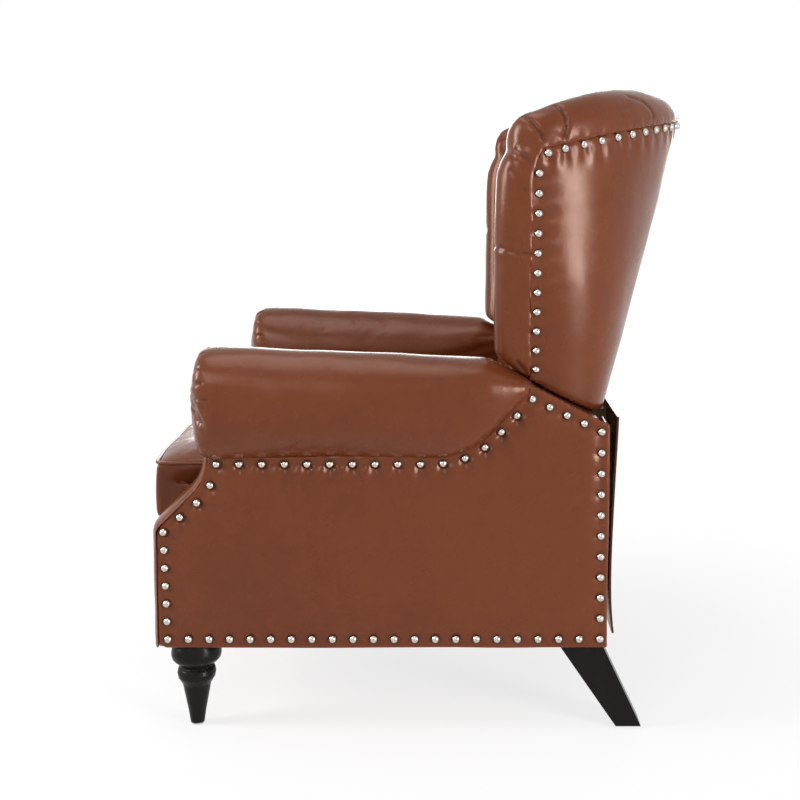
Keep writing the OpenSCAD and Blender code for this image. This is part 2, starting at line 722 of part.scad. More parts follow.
// Wooden seat frame with the steel plates on its sides
skirt_lap = 2;
seat_low = seat_skirt_h + skirt_lap;
seat_rail_h = 50;
seat_top = seat_low + seat_rail_h;
frame_setback = 35;
seat_frame_front = seat_front - frame_setback;
seat_frame_in = 120;
seat_frame_rear = arm_rear - seat_frame_in;
module seat_frame() {
    color(wood) difference() {
        translate([-seat_rail_x, -seat_frame_front, seat_low])
            cube([2 * seat_rail_x, seat_frame_front + seat_frame_rear, seat_rail_h]);
        translate([-seat_rail_x + seat_rail_t, -seat_frame_front + seat_rail_t, seat_low - over])
            cube([2 * (seat_rail_x - seat_rail_t), seat_frame_front + seat_frame_rear - 2 * seat_rail_t,
                seat_rail_h + 2 * over]);
    }
}

// Sinuous springs from the front rail to the rear rail
spring_d = 4;
spring_count = 5;
spring_loops = 9;
spring_rise = 12;
spring_reach = 26;
spring_z = seat_top - seat_rail_h / 2;
spring_start = seat_rail_t + spring_d / 2;
function spring_y(u) = mix(-seat_frame_front + spring_start, seat_frame_rear - spring_start, u);
function ease_in(u) = sin(half_turn / 2 * clamp01(min(u, 1 - u) * 12));
function spring_line(x0, steps) = [for (i = [0:steps])
    let (u = i / steps, w = spring_reach * sin(360 * spring_loops * u) * ease_in(u))
    [x0 + w, spring_y(u), spring_z + spring_rise * sin(half_turn * u)]];
function tube_rings(line, r, sides) =
    let (n = len(line))
    [for (i = [0:n - 1])
        let (
            d = line[min(n - 1, i + 1)] - line[max(0, i - 1)],
            t = d / norm(d),
            side = cross(t, [0, 0, 1]) / norm(cross(t, [0, 0, 1])),
            up = cross(side, t)
        )
        [for (j = [0:sides - 1]) line[i] + r * (side * cos(360 * j / sides) + up * sin(360 * j / sides))]];
module seat_springs() {
    pitch = 2 * (seat_rail_x - seat_rail_t) / spring_count;
    color(steel) for (k = [0:spring_count - 1])
        let (line = spring_line((k - (spring_count - 1) / 2) * pitch, 6 * spring_loops))
        loft(tube_rings(line, spring_d / 2, 5));
}

clip_w = 20;
clip_h = 14;
clip_t = 1.5;
module spring_clips() {
    pitch = 2 * (seat_rail_x - seat_rail_t) / spring_count;
    color(steel) for (k = [0:spring_count - 1], end = [0, 1])
        let (x = (k - (spring_count - 1) / 2) * pitch)
        translate([x - clip_w / 2,
            end == 0 ? -seat_frame_front + seat_rail_t : seat_frame_rear - seat_rail_t - clip_t,
            spring_z + spring_d / 2])
            cube([clip_w, clip_t, clip_h]);
}

// Boxed and crowned seat cushion whose front boxing hangs over the rail
seat_rear_in = 182;
seat_rear = arm_rear - seat_rear_in;
cushion_low = seat_top + soft_gap;
box_front_t = 32;
box_puff = 3;
box_lip = 6;
box_hem = 14;
box_step = 2;
side_in_share = 0.995;
function front_bow(u) = seat_bulge * (1 - u * u);
module seat_cushion() {
    xs = [-1, -0.985, -0.9, -0.7, -0.45, -0.2, 0, 0.2, 0.45, 0.7, 0.9, 0.985, 1];
    ys = [0, 0.02, 0.1, 0.25, 0.45, 0.65, 0.85, 0.97, 1];
    function top(u, v) =
        let (edge = pow(1 - pow(abs(u), 4), 0.6) * pow(1 - pow(abs(2 * v - 1), 4), 0.6))
        [u * seat_half, mix(-seat_front - front_bow(u), seat_rear, v), seat_seam_h + seat_crown * edge];
    function box(u, k) =
        [u * seat_half, -seat_front - front_bow(u) - box_puff * sin(half_turn * k),
            mix(seat_seam_h, seat_skirt_h, k)];
    upper = [for (v = ys) [for (u = xs) top(u, v)]];
    front_rows = [for (k = [1, 0.93, 0.6, 0.3]) [for (u = xs) box(u, k)]];
    grid = concat(front_rows, upper);
    rows = len(grid);
    back = [for (i = [0:rows - 1]) [for (j = [0:len(xs) - 1])
        let (p = grid[i][j])
        i < 2 ? [p[0] * side_in_share, -seat_front + box_front_t, p[2] + i * box_lip]
        : i < 4 ? [p[0] * side_in_share, -seat_front + box_front_t,
            mix(seat_skirt_h + box_hem, cushion_low - box_step, i - 2)]
        : [p[0] * side_in_share, max(p[1], -seat_front + box_front_t + (i - 4) * box_step), cushion_low]]];
    color(leather) sheet(grid, back);
}

welt_reach_share = 0.97;
welt_turn = 20;
module seat_welt() {
    r = welt_d / 2 + soft_gap;
    count = 14;
    front = [for (i = [0:count]) let (u = mix(-1, 1, i / count) * welt_reach_share)
        [u * seat_half, -seat_front - front_bow(u) - r * cos(welt_turn), seat_seam_h + r * sin(welt_turn)]];
    color(leather) loft(tube_rings(front, welt_d / 2, 8));
}

slot_steps = 6;
function seat_shift(t) = rocker_len * (dir(rocker_lean + rocker_swing * t) - dir(rocker_lean));
function pin_shift(t) = hinge + turn2(drive_pin - hinge, -recline * t) - drive_pin - seat_shift(t);
slot_play = 1;
function slot_outline() =
    let (
        path = [for (i = [0:slot_steps]) drive_pin + pin_shift(i / slot_steps)],
        ys = [for (p = path) p[0]],
        zs = [for (p = path) p[1]],
        mid_y = (min(ys) + max(ys)) / 2
    )
    round_outline([[mid_y, min(zs)], [mid_y, max(zs)]], stud_d / 2 + slot_play + (max(ys) - min(ys)) / 2);

plate_band = 30;
ear_margin = 18;
module seat_plate(side) {
    z0 = front_stud[1];
    ear_r = stud_d / 2 + ear_margin;
    color(steel) side_piece(side) {
        difference() {
            across(seat_rail_x, plate_t) difference() {
                polygon(concat(
                    arc(front_stud, plate_band / 2, 90, 270, 2 * arc_steps),
                    [[rear_stud[0] + plate_band, z0 - plate_band / 2],
                        [drive_pin[0] - ear_r, z0 - plate_band * 3 / 2],
                        [drive_pin[0] - ear_r, drive_pin[1]]],
                    arc(drive_pin, ear_r, 180, 360, 2 * arc_steps),
                    [[drive_pin[0] + ear_r, z0 - plate_band], [drive_pin[0] - ear_r, z0 + plate_band / 2]]));
                polygon(slot_outline());
            }
            bore_x(seat_rail_x, plate_t, lift_pivot, rivet_d);
            bore_x(seat_rail_x, plate_t, lift_pivot + guide_offset, rivet_d);
        }
        for (p = [front_stud, rear_stud]) {
            rod_x(seat_rail_x, rocker_x + plate_t - seat_rail_x + link_gap / 4 + rivet_head, p, stud_d);
            rod_x(seat_rail_x, rocker_x - seat_rail_x - link_gap / 4, p, stud_head_d);
            rod_x(rocker_x + plate_t + link_gap / 4, rivet_head, p, stud_head_d);
        }
    }
}

// Footrest linkage at rest: two parallelograms that turn the board about a remote centre
lift_end = lift_pivot + lift_len * dir(lift_rest);
lift_upper = lift_end + bracket_arm;
guide_pivot = lift_pivot + guide_offset;
guide_end = lift_end + guide_offset;
bracket_top = carrier_end + bracket_arm;

// Long footrest link, hung from the seat plate, that carries both forward links
module lift_link(side) {
    color(steel) side_piece(side) {
        across(lift_x, plate_t) polygon(round_outline([lift_pivot, lift_end, lift_upper], link_w / 2));
        rod_x(seat_rail_x + link_gap / 4, layer, lift_pivot, rivet_d);
        for (p = [lift_end, lift_upper]) rivet(lift_x, p);
    }
}

// Second hanging link, parallel to the first
module guide_link(side) {
    color(steel) side_piece(side) {
        across(lift_x, plate_t) polygon(round_outline([guide_pivot, guide_end], link_w / 2));
        rod_x(seat_rail_x + link_gap / 4, layer, guide_pivot, rivet_d);
        rivet(lift_x, guide_end);
    }
}

// Lower forward link, with the tail that the second hanging link steers
module carrier_link(side) {
    color(steel) side_piece(side) difference() {
        across(carrier_x, plate_t) polygon(round_outline([carrier_end, lift_end, guide_end], link_w / 2));
        for (p = [lift_end, guide_end, carrier_end]) bore_x(carrier_x, plate_t, p, rivet_d);
    }
}

module upper_link(side) {
    color(steel) side_piece(side) difference() {
        across(carrier_x, plate_t) polygon(round_outline([lift_upper, bracket_top], link_w / 2));
        for (p = [lift_upper, bracket_top]) bore_x(carrier_x, plate_t, p, rivet_d);
    }
}

board_half = lift_x + plate_t;
module footrest_board() {
    color(wood) translate([-board_half, -board_back - board_t, board_bottom])
        cube([2 * board_half, board_t, board_top - board_bottom]);
}

bracket_gap = 6;
bracket_h = 104;
bracket_foot = 22;
module footrest_bracket(side) {
    color(steel) side_piece(side) {
        across(lift_x, plate_t) polygon([
            [-board_back, board_top - bracket_gap],
            [bracket_top[0] - link_w / 4, bracket_top[1] + link_w / 2],
            [bracket_top[0] + link_w / 2, bracket_top[1]], [carrier_end[0] + link_w / 2, carrier_end[1]],
            [carrier_end[0], carrier_end[1] - link_w / 2],
            [-board_back, board_top - bracket_gap - bracket_h]]);
        translate([board_half - bracket_foot, -board_back, board_top - bracket_gap - bracket_h])
            cube([bracket_foot - plate_t / 2, plate_t, bracket_h]);
        for (p = [bracket_top, carrier_end]) rivet(lift_x, p);
    }
}

foot_side_gap = 6;
foot_half = seat_space - foot_side_gap;
foot_reach = 14;
foot_front = arm_front + foot_reach;
foot_top_gap = 8;
foot_top = seat_skirt_h - foot_top_gap;
foot_low_gap = 7;
foot_low = base_h + foot_low_gap;
foot_round = 3;
foot_rim_share = 0.42;
module footrest_pad() {
    xs = [-1, -0.985, -0.93, -0.7, -0.35, 0, 0.35, 0.7, 0.93, 0.985, 1];
    zs = [0, 0.035, 0.14, 0.32, 0.5, 0.68, 0.86, 0.965, 1];
    deep = foot_front - board_back - board_t;
    function face(u, v) =
        let (edge = pow(1 - pow(abs(u), 8), 0.5) * pow(1 - pow(abs(2 * v - 1), 6), 0.5))
        [u * (foot_half - foot_round + foot_round * edge),
            -board_back - board_t - deep * mix(foot_rim_share, 1, edge), mix(foot_low, foot_top, v)];
    front = [for (v = zs) [for (u = xs) face(u, v)]];
    ring = [for (p = rim_of(front)) [p[0] * 0.99, -board_back - board_t - soft_gap, p[2]]];
    color(leather) pad(front, ring);
}

// Outside back: square at its foot and a round barrel at its top, raked to the rear.
// Angles run from the rear centre to the wing's front edge.
square_gap = 53;
round_gap = 7;
square_z = wing_foot_z - square_gap;
round_z = back_top - round_gap;
function back_a_at(z) = back_half + flare_share * (z - wing_foot_z);
function back_b_at(z) = barrel_depth + back_depth_share * (z - wing_foot_z);
function back_y_at(z) = back_rear + rake_share * (z - wing_foot_z) - back_b_at(z);

// Front edge of the outside back: plumb, then rounded back at its top corner
edge_in = 2;
edge_lean = 3;
edge_corner = 15;
edge_corner_h = 40;
function corner_rise(t) = t * t * (3 - 2 * t);
function edge_y(z) =
    let (t = clamp01((z - back_top + back_top_drop + edge_corner_h) / edge_corner_h))
    peak_y - edge_in + edge_lean * (z - wing_foot_z) / back_rise + edge_corner * corner_rise(t);
function angle_at(y, z) = acos(pow(clamp01((y - back_y_at(z)) / back_b_at(z)), 1 / corner_share(z)));
function edge_angle(z) = angle_at(edge_y(z), z);
function corner_share(z) = mix(0.4, 1, clamp01((z - square_z) / (round_z - square_z)));
function back_point(phi, z, inset) =
    let (e = corner_share(z))
    [(back_a_at(z) - inset) * pow(abs(sin(phi)), e) * sign(phi),
        back_y_at(z) + (back_b_at(z) - inset) * pow(cos(phi), e), z];
function fall_share(phi, edge) = (1 - cos(phi)) / (1 - cos(edge));
foot_gap = 9;
top_nails = 13;
back_levels = [0, 0.07, 0.2, 0.35, 0.5, 0.65, 0.79, 0.89, 0.95, 1];
function foot_z(y) = peak_z + foot_gap - deck_fall_share * (y - peak_y);

// Lowest and highest point of the outside back at an angle, found by two steps of substitution
function shell_low(phi) =
    let (
        y0 = back_point(phi, wing_foot_z, 0)[1],
        y1 = back_point(phi, foot_z(y0), 0)[1],
        y2 = back_point(phi, foot_z(y1), 0)[1]
    )
    foot_z(y2);
function shell_high(phi, edge) = back_top - back_top_drop * fall_share(phi, edge);

module back_outer_panel() {
    low_edge = edge_angle(wing_foot_z);
    high_edge = edge_angle(back_top - back_top_drop);
    us = [for (i = [-top_nails:top_nails]) i / top_nails];
    function place(u, v, inset) =
        let (
            edge = mix(low_edge, high_edge, v),
            phi = u * edge,
            z = mix(shell_low(phi), shell_high(phi, edge), v),
            real = edge_angle(z)
        )
        back_point(u * real, z, inset);
    color(leather) sheet([for (v = back_levels) [for (u = us) place(u, v, 0)]],
        [for (v = back_levels) [for (u = us) place(u, v, shell_t)]]);
}

// Surface inside the outside back that carries a wing's curved board and its pad
board_shares = [0.6, 0.67, 0.74, 0.82, 0.9, 0.985];
board_edge = 2;
board_gap = 0.9;
function wing_place(u, v, inset) =
    let (
        phi = u * edge_angle(wing_foot_z),
        high = shell_high(phi, edge_angle(wing_foot_z)) - board_edge,
        z = mix(shell_low(phi) + board_edge, high, v)
    )
    back_point(u * edge_angle(z), z, inset);

module wing_board(side) {
    first = shell_t + board_gap;
    color(wood) side_piece(side) sheet(
        [for (v = back_levels) [for (u = board_shares) wing_place(u, v, first)]],
        [for (v = back_levels) [for (u = board_shares) wing_place(u, v, first + wing_board_t)]]);
}

// Front line of the inner back at the chair's centre
inner_in = 160;
inner_low_y = arm_rear - inner_in;
function inner_y(z) = inner_low_y + inner_rake_share * (z - arm_seam_h);
cushion_side_gap = 9;
cushion_half = back_half - wing_t - cushion_side_gap;
tuft_side = cushion_half * 3 / 4;
cushion_foot_gap = 20;
cushion_foot = seat_top + cushion_foot_gap;
inner_dish = 30;
dish_rise = 200;
function dish_at(z) = inner_dish * clamp01((z - cushion_foot) / dish_rise);
function dish_slope(z) = z < cushion_foot + dish_rise ? inner_dish / dish_rise : 0;

// Section of a wing pad: the padded nose, the inner face and the seat on the curved board
wing_low_share = 0.62;
wing_hollow = 8;
function wing_bottom(y) =
    foot_z(y) + board_edge + (y < peak_y ? (wing_low_share - deck_fall_share) * (peak_y - y) : 0);
function wing_top(x, y) =
    let (z = back_top - back_top_drop, phi = atan2(x * back_b_at(z) / back_a_at(z), y - back_y_at(z)))
    back_top - back_top_drop * fall_share(phi, edge_angle(z)) - 1.5 * over;
function wing_section(z) =
    let (
        edge = edge_angle(z),
        n = back_point(edge, z, 0),
        c = [n[0] - wing_t / 2, n[1] - nose_depth / 3],
        nose = [for (i = [0:9]) let (a = mix(12, -half_turn, i / 9))
            c + [(wing_t / 2 + over) * cos(a), nose_depth * 2 / 3 * sin(a)]],
        inner_end = [cushion_half + soft_gap, inner_y(z) - dish_at(z)],
        inner_mid = [c[0] - wing_t / 2 - wing_hollow, mix(c[1], inner_end[1], 0.7)],
        inner = [for (i = [1:5]) let (t = i / 5)
            pow(1 - t, 2) * nose[9] + 2 * t * (1 - t) * inner_mid + t * t * inner_end],
        seat_y = n[1] - shell_t * 5 / 12
    )
    concat([[back_point(edge, z, shell_t + wing_board_t)[0], seat_y], [n[0], seat_y]], nose, inner);
function wing_ring(v) =
    let (
        guess = wing_section(mix(wing_foot_z, back_top - back_top_drop, v)),
        inset = shell_t + board_gap + wing_board_t + soft_gap
    )
    concat([for (j = [0:len(guess) - 1])
        let (
            z = mix(wing_bottom(guess[j][1]), wing_top(guess[j][0], guess[j][1]), v),
            p = wing_section(z)[j]
        )
        [p[0], p[1], z]],
        [for (u = board_shares) wing_place(u, v, inset)]);

module wing_pad(side) {
    color(leather) side_piece(side) loft([for (v = back_levels) wing_ring(v)]);
}

// Padded roll along the top of the back, broad at the centre and round over the wings
roll_centre_w = 80;
roll_lip = 2;
roll_nose_shares = [[0.3, 0.95], [0.56, 0.78], [0.72, 0.46]];
module top_roll() {
    steps = top_nails;
    turn = edge_angle(back_top - back_top_drop);
    function width_at(s) = wing_t + roll_centre_w * pow(clamp01(1 - s), 1.6);
    function rise_at(s) = crest_h + crest_swell * sin(150 * s);
    function ring(u) =
        let (
            s = fall_share(u * turn, turn),
            z = back_top - back_top_drop * s + soft_gap,
            phi = u * edge_angle(z),
            w = width_at(s),
            h = rise_at(s)
        )
        concat([for (i = [0:10]) let (t = 18 * i)
            back_point(phi, z, w * (1 - cos(t)) / 2 - roll_lip * sin(t)) + [0, 0, h * pow(sin(t), 0.75)]],
            [back_point(phi, z, w * 0.6)]);
    function nose_ring(side, k) =
        let (
            base = ring(side),
            shares = roll_nose_shares[k],
            mid = mean(base),
            low = back_top - back_top_drop + soft_gap
        )
        [for (p = base) [mid[0] + (p[0] - mid[0]) * shares[1],
            mid[1] + (p[1] - mid[1]) * shares[1] - nose_depth * shares[0],
            max(low, mix(p[2], low, 1 - shares[1]))]];
    color(leather) loft(concat([for (k = [2, 1, 0]) nose_ring(-1, k)],
        [for (i = [-steps:steps]) ring(i / steps)], [for (k = [0, 1, 2]) nose_ring(1, k)]));
}

// Tufted cushion between the wings
tuft_low_rise = 79;
tuft_high_drop = 67;
tuft_low = arm_seam_h + tuft_low_rise;
tuft_high = back_top - tuft_high_drop;
tuft_reach = 30;
cushion_round = 6;
function tuft_row(r, n, span) = [for (c = [0:n - 1])
    [mix(-span, span, n == 1 ? 0.5 : c / (n - 1)), mix(tuft_low, tuft_high, r / (tuft_rows - 1))]];
function tuft_places() = [for (r = [0:tuft_rows - 1])
    each r % 2 == 0 ? tuft_row(r, tuft_columns, tuft_side)
        : tuft_row(r, tuft_columns - 1, tuft_side * (tuft_columns - 2) / (tuft_columns - 1))];
function dimple(x, z) =
    max([for (t = tuft_places()) exp(-(pow(x - t[0], 2) + pow(z - t[1], 2)) / pow(tuft_reach, 2))]);
function cushion_y(x, z) =
    let (edge = pow(1 - pow(abs(x) / cushion_half, 10), 0.5))
    inner_y(z) - dish_at(z) * pow(x / cushion_half, 2) - cushion_round * edge + tuft_d * dimple(x, z);
function cushion_top(x) =
    wing_top(abs(x), inner_y(back_top) - inner_dish * pow(x / cushion_half, 2)) - 2 * over;
// A grid with a corner at each button
module back_cushion() {
    count = 12;
    row = (tuft_high - tuft_low) / (tuft_rows - 1) / 4;
    zs = concat([cushion_foot], [for (i = [-5:4 * tuft_rows - 3]) tuft_low + i * row]);
    xs = [for (i = [-count:count]) i / count * cushion_half];
    front = concat([for (z = zs) [for (x = xs) [x, cushion_y(x, z), z]]],
        [[for (x = xs) let (z = cushion_top(x)) [x, cushion_y(x, z), z]]]);
    ring = [for (p = rim_of(front)) [p[0], inner_y(p[2]) + cushion_t - inner_dish, p[2]]];
    color(leather) pad(front, ring);
}

// Turns a piece that stands on +Z to the direction n
module facing(n) {
    rotate([0, acos(n[2] / norm(n)), atan2(n[1], n[0])]) children();
}

button_share = 0.33;
button_gap = 1;
button_h_share = 0.36;
module back_buttons() {
    r = button_d / 2;
    color(leather) for (t = tuft_places())
        let (
            across_slope = -2 * dish_at(t[1]) * t[0] / pow(cushion_half, 2),
            up_slope = inner_rake_share - dish_slope(t[1]) * pow(t[0] / cushion_half, 2),
            n = [across_slope, -1, up_slope]
        )
        translate([t[0], cushion_y(t[0], t[1]), t[1]] + button_gap * n / norm(n)) facing(n)
            rotate_extrude($fn = 24) polygon(concat([[0, 0]],
                [for (i = [0:5]) [r * cos(18 * i), r * button_share + button_h_share * r * sin(18 * i)]]));
}

// Wooden frame inside the back
stile_x = 130;
stile_w = 40;
low_rail_rise = 38;
mid_rail_rise = 7;
top_rail_drop = 62;
flap_lap = 12;
stile_d = 38;
side_stile_w = 30;
function frame_y(z) = inner_y(z) + cushion_t - inner_dish + soft_gap;
rail_z = [cushion_foot + low_rail_rise, wing_foot_z + mid_rail_rise, back_top - top_rail_drop];
rail_w = 40;
module raked(z0, z1, d) {
    polygon([[frame_y(z0), z0], [frame_y(z0) + d, z0], [frame_y(z1) + d, z1], [frame_y(z1), z1]]);
}
module back_frame() {
    color(wood) {
        on_both_sides() {
            across(stile_x - stile_w / 2, stile_w) raked(cushion_foot, rail_z[2] + rail_w, stile_d);
            across(rocker_x - side_stile_w, side_stile_w) raked(cushion_foot, rail_z[1] + rail_w, stile_d);
        }
        for (z = [rail_z[0], rail_z[1]])
            across(-rocker_x, 2 * rocker_x) raked(z, z + rail_w, stile_d / 2);
        across(-stile_x, 2 * stile_x) raked(rail_z[2], rail_z[2] + rail_w, stile_d / 2);
        // Block that carries the rear flap, with a tongue that meets the outside back
        across(-stile_x - stile_w / 2, 2 * stile_x + stile_w)
            polygon([[frame_y(rail_z[0]) + stile_d / 2, rail_z[0]],
                [flap_y - soft_gap, rail_z[0] + rail_w / 2], [flap_y - soft_gap, flap_top - flap_lap],
                [frame_y(rail_z[0] + rail_w) + stile_d / 2, rail_z[0] + rail_w]]);
        across(-rail_w, 2 * rail_w)
            polygon([[frame_y(rail_z[0] + rail_w) + stile_d / 2, rail_z[0] + rail_w],
                [back_point(0, flap_top - flap_lap, shell_t)[1] - soft_gap, flap_top - flap_lap],
                [back_point(0, flap_top + rail_w, shell_t)[1] - soft_gap, flap_top + rail_w],
                [frame_y(rail_z[0] + rail_w) + stile_d / 2, flap_top]]);
    }
}

back_spring_count = 4;
back_spring_loops = 8;
back_spring_reach = 20;
module back_springs() {
    pitch = 2 * (stile_x - stile_w / 2) / back_spring_count;
    z0 = rail_z[1] + rail_w + spring_d / 2;
    z1 = rail_z[2] - spring_d / 2;
    steps = 48;
    color(steel) for (k = [0:back_spring_count - 1])
        loft([for (i = [0:steps])
            let (
                u = i / steps,
                z = mix(z0, z1, u),
                turn = 360 * back_spring_loops * u,
                w = back_spring_reach * sin(turn) * ease_in(u),
                x = (k - (back_spring_count - 1) / 2) * pitch + w,
                slope = back_spring_reach * 2 * PI * back_spring_loops * cos(turn) / (z1 - z0),
                len1 = sqrt(1 + slope * slope)
            )
            [for (j = [0:4]) [x + spring_d / 2 * cos(72 * j) / len1,
                frame_y(z) + stile_d / 4 + spring_d / 2 * sin(72 * j),
                z - spring_d / 2 * cos(72 * j) * slope / len1]]]);
}

back_nail_inset = 8;
wing_nails = 11;
wing_nail_start = 20;
module back_nailheads() {
    turn = edge_angle(back_top - back_top_drop);
    top_run = [for (i = [0:top_nails - 1]) let (phi = turn * i / top_nails)
        [phi, shell_high(phi, turn) - back_nail_inset]];
    wing_low = wing_foot_z + wing_nail_start;
    wing_high = back_top - back_top_drop - back_nail_inset;
    wing_run = [for (k = [0:wing_nails]) let (z = mix(wing_low, wing_high, k / wing_nails))
        [angle_at(edge_y(z) + back_nail_inset, z), z]];
    color(nickel) for (p = concat(top_run, wing_run), side = p[0] > 0 ? [-1, 1] : [1])
        let (
            at = back_point(side * p[0], p[1], -soft_gap),
            along_x = back_point(side * (p[0] + 0.5), p[1], -soft_gap) - at,
            along_z = back_point(side * p[0], p[1] + 1, -soft_gap) - at,
            n = -cross(along_x, along_z) * side
        )
        translate(at) facing(n) nail();
}

module back_bracket(side) {
    color(steel) side_piece(side) {
        difference() {
            across(rocker_x, plate_t) polygon(concat(
                arc(drive_pin, stud_d, 180, 360, 2 * arc_steps),
                [[hinge[0] + stud_d * 3 / 2, hinge[1]],
                    [frame_y(rail_z[0]) + stile_d, rail_z[0] - stile_d / 2],
                    [frame_y(rail_z[1]) + stile_d, rail_z[1]], [frame_y(rail_z[1]), rail_z[1]],
                    [frame_y(rail_z[0]), rail_z[0] - stile_d / 2], [hinge[0] - stud_d * 3 / 2, hinge[1]]]));
            bore_x(rocker_x, plate_t, hinge, stud_d);
        }
        rod_x(seat_rail_x - rivet_head, rocker_x - seat_rail_x + rivet_head, drive_pin, stud_d);
    }
}

arm_frame(1);  // arm_frame_left
arm_frame(-1);  // arm_frame_right
side_rail(1);  // side_rail_left
side_rail(-1);  // side_rail_right
arm_outer_panel(1);  // arm_outer_panel_left
arm_outer_panel(-1);  // arm_outer_panel_right
arm_pad(1);  // arm_pad_left
arm_pad(-1);  // arm_pad_right
arm_facing(1);  // arm_facing_left
arm_facing(-1);  // arm_facing_right
arm_nailheads(1);  // arm_nailheads_left
arm_nailheads(-1);  // arm_nailheads_right
front_rail();
rear_rail();
front_leg(1);  // front_leg_left
front_leg(-1);  // front_leg_right
rear_leg(1);  // rear_leg_left
rear_leg(-1);  // rear_leg_right
leg_bolts();
leg_glides();
rear_flap();
mechanism_rail(1);  // mechanism_rail_left
mechanism_rail(-1);  // mechanism_rail_right
rocker(1, rear_base, rear_stud);  // rear_rocker_left
rocker(-1, rear_base, rear_stud);  // rear_rocker_right
torque_tube();
rocker(1, front_base, front_stud);  // front_rocker_left
rocker(-1, front_base, front_stud);  // front_rocker_right
seat_frame();
seat_springs();
spring_clips();
seat_cushion();
seat_welt();
seat_plate(1);  // seat_plate_left
seat_plate(-1);  // seat_plate_right
lift_link(1);  // lift_link_left
lift_link(-1);  // lift_link_right
guide_link(1);  // guide_link_left
guide_link(-1);  // guide_link_right
carrier_link(1);  // carrier_link_left
carrier_link(-1);  // carrier_link_right
upper_link(1);  // upper_link_left
upper_link(-1);  // upper_link_right
footrest_board();
footrest_pad();
footrest_bracket(1);  // footrest_bracket_left
footrest_bracket(-1);  // footrest_bracket_right
back_frame();
wing_board(1);  // wing_board_left
wing_board(-1);  // wing_board_right
back_outer_panel();
back_cushion();
wing_pad(1);  // wing_pad_left
wing_pad(-1);  // wing_pad_right
top_roll();
back_springs();
back_buttons();
back_nailheads();
back_bracket(1);  // back_bracket_left
back_bracket(-1);  // back_bracket_right
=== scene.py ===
import math

import bmesh
import bpy
import numpy as np
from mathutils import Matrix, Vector, noise


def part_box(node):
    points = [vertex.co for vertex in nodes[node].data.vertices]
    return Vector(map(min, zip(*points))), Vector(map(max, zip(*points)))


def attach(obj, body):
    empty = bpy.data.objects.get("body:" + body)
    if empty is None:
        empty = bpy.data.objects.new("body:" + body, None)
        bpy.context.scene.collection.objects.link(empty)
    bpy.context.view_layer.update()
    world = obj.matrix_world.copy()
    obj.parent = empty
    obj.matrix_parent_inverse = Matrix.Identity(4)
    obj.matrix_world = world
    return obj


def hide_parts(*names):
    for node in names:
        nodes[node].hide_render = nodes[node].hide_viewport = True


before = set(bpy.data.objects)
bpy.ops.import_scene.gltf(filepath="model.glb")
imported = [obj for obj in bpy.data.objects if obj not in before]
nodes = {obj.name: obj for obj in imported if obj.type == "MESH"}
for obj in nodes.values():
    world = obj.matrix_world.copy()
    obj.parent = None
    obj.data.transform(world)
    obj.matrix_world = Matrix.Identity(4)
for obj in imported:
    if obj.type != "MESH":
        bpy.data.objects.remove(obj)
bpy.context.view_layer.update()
scene = bpy.context.scene
print("frame loaded:", len(nodes), "nodes")

# selecting, copying and remeshing

meshLook = {
    "merge": 0.00005,  # corners of the CAD's loose triangles closer than this are one
    "quadFaceAngle": 35, "quadShapeAngle": 80,
    "rimAngle": 50, "rimSegments": 2,
    "relaxFactor": 0.5,
    "solidMerge": 0.00002,
    "smoothAngle": 60,
}
clothLook = {"quality": 4, "mass": 0.3, "stretch": 12, "shear": 5, "bend": 0.6, "steps": 20}


def pickOnly(piece, *others):
    if bpy.context.object and bpy.context.object.mode != "OBJECT":
        bpy.ops.object.mode_set(mode="OBJECT")
    bpy.ops.object.select_all(action="DESELECT")
    for each in (piece, *others):
        each.select_set(True)
    bpy.context.view_layer.objects.active = piece


def applyAll(piece):
    pickOnly(piece)
    for modifier in list(piece.modifiers):
        bpy.ops.object.modifier_apply(modifier=modifier.name)


def readPoints(piece):
    points = np.zeros(len(piece.data.vertices) * 3)
    piece.data.vertices.foreach_get("co", points)
    return points.reshape(-1, 3)


def readNormals(piece):
    normals = np.zeros(len(piece.data.vertices) * 3)
    piece.data.vertices.foreach_get("normal", normals)
    return normals.reshape(-1, 3)


def writePoints(piece, points):
    piece.data.vertices.foreach_set("co", points.astype(np.float32).ravel())
    piece.data.update()


def cloneMesh(source, name):
    piece = source.copy()
    piece.data = source.data.copy()
    for key in list(piece.keys()):
        del piece[key]
    piece.parent = None
    piece.name = name
    bpy.context.collection.objects.link(piece)
    return piece


def copyNode(name, node):
    # a merged copy of a CAD node's loose triangles
    piece = cloneMesh(nodes[node], name)
    piece.data.materials.clear()
    pickOnly(piece)
    bpy.ops.object.mode_set(mode="EDIT")
    bpy.ops.mesh.select_all(action="SELECT")
    bpy.ops.mesh.remove_doubles(threshold=meshLook["merge"])
    bpy.ops.mesh.tris_convert_to_quads(face_threshold=math.radians(meshLook["quadFaceAngle"]),
                                       shape_threshold=math.radians(meshLook["quadShapeAngle"]))
    bpy.ops.object.mode_set(mode="OBJECT")
    return piece


def soften(piece, edge, levels):
    # narrow bevels keep the rims where they are while the faces are rounded
    if edge:
        bevel = piece.modifiers.new("rims", "BEVEL")
        bevel.width, bevel.segments, bevel.limit_method = edge, meshLook["rimSegments"], "ANGLE"
        bevel.angle_limit = math.radians(meshLook["rimAngle"])
        bevel.use_clamp_overlap = True
    smooth = piece.modifiers.new("smooth", "SUBSURF")
    smooth.levels = smooth.render_levels = levels
    applyAll(piece)


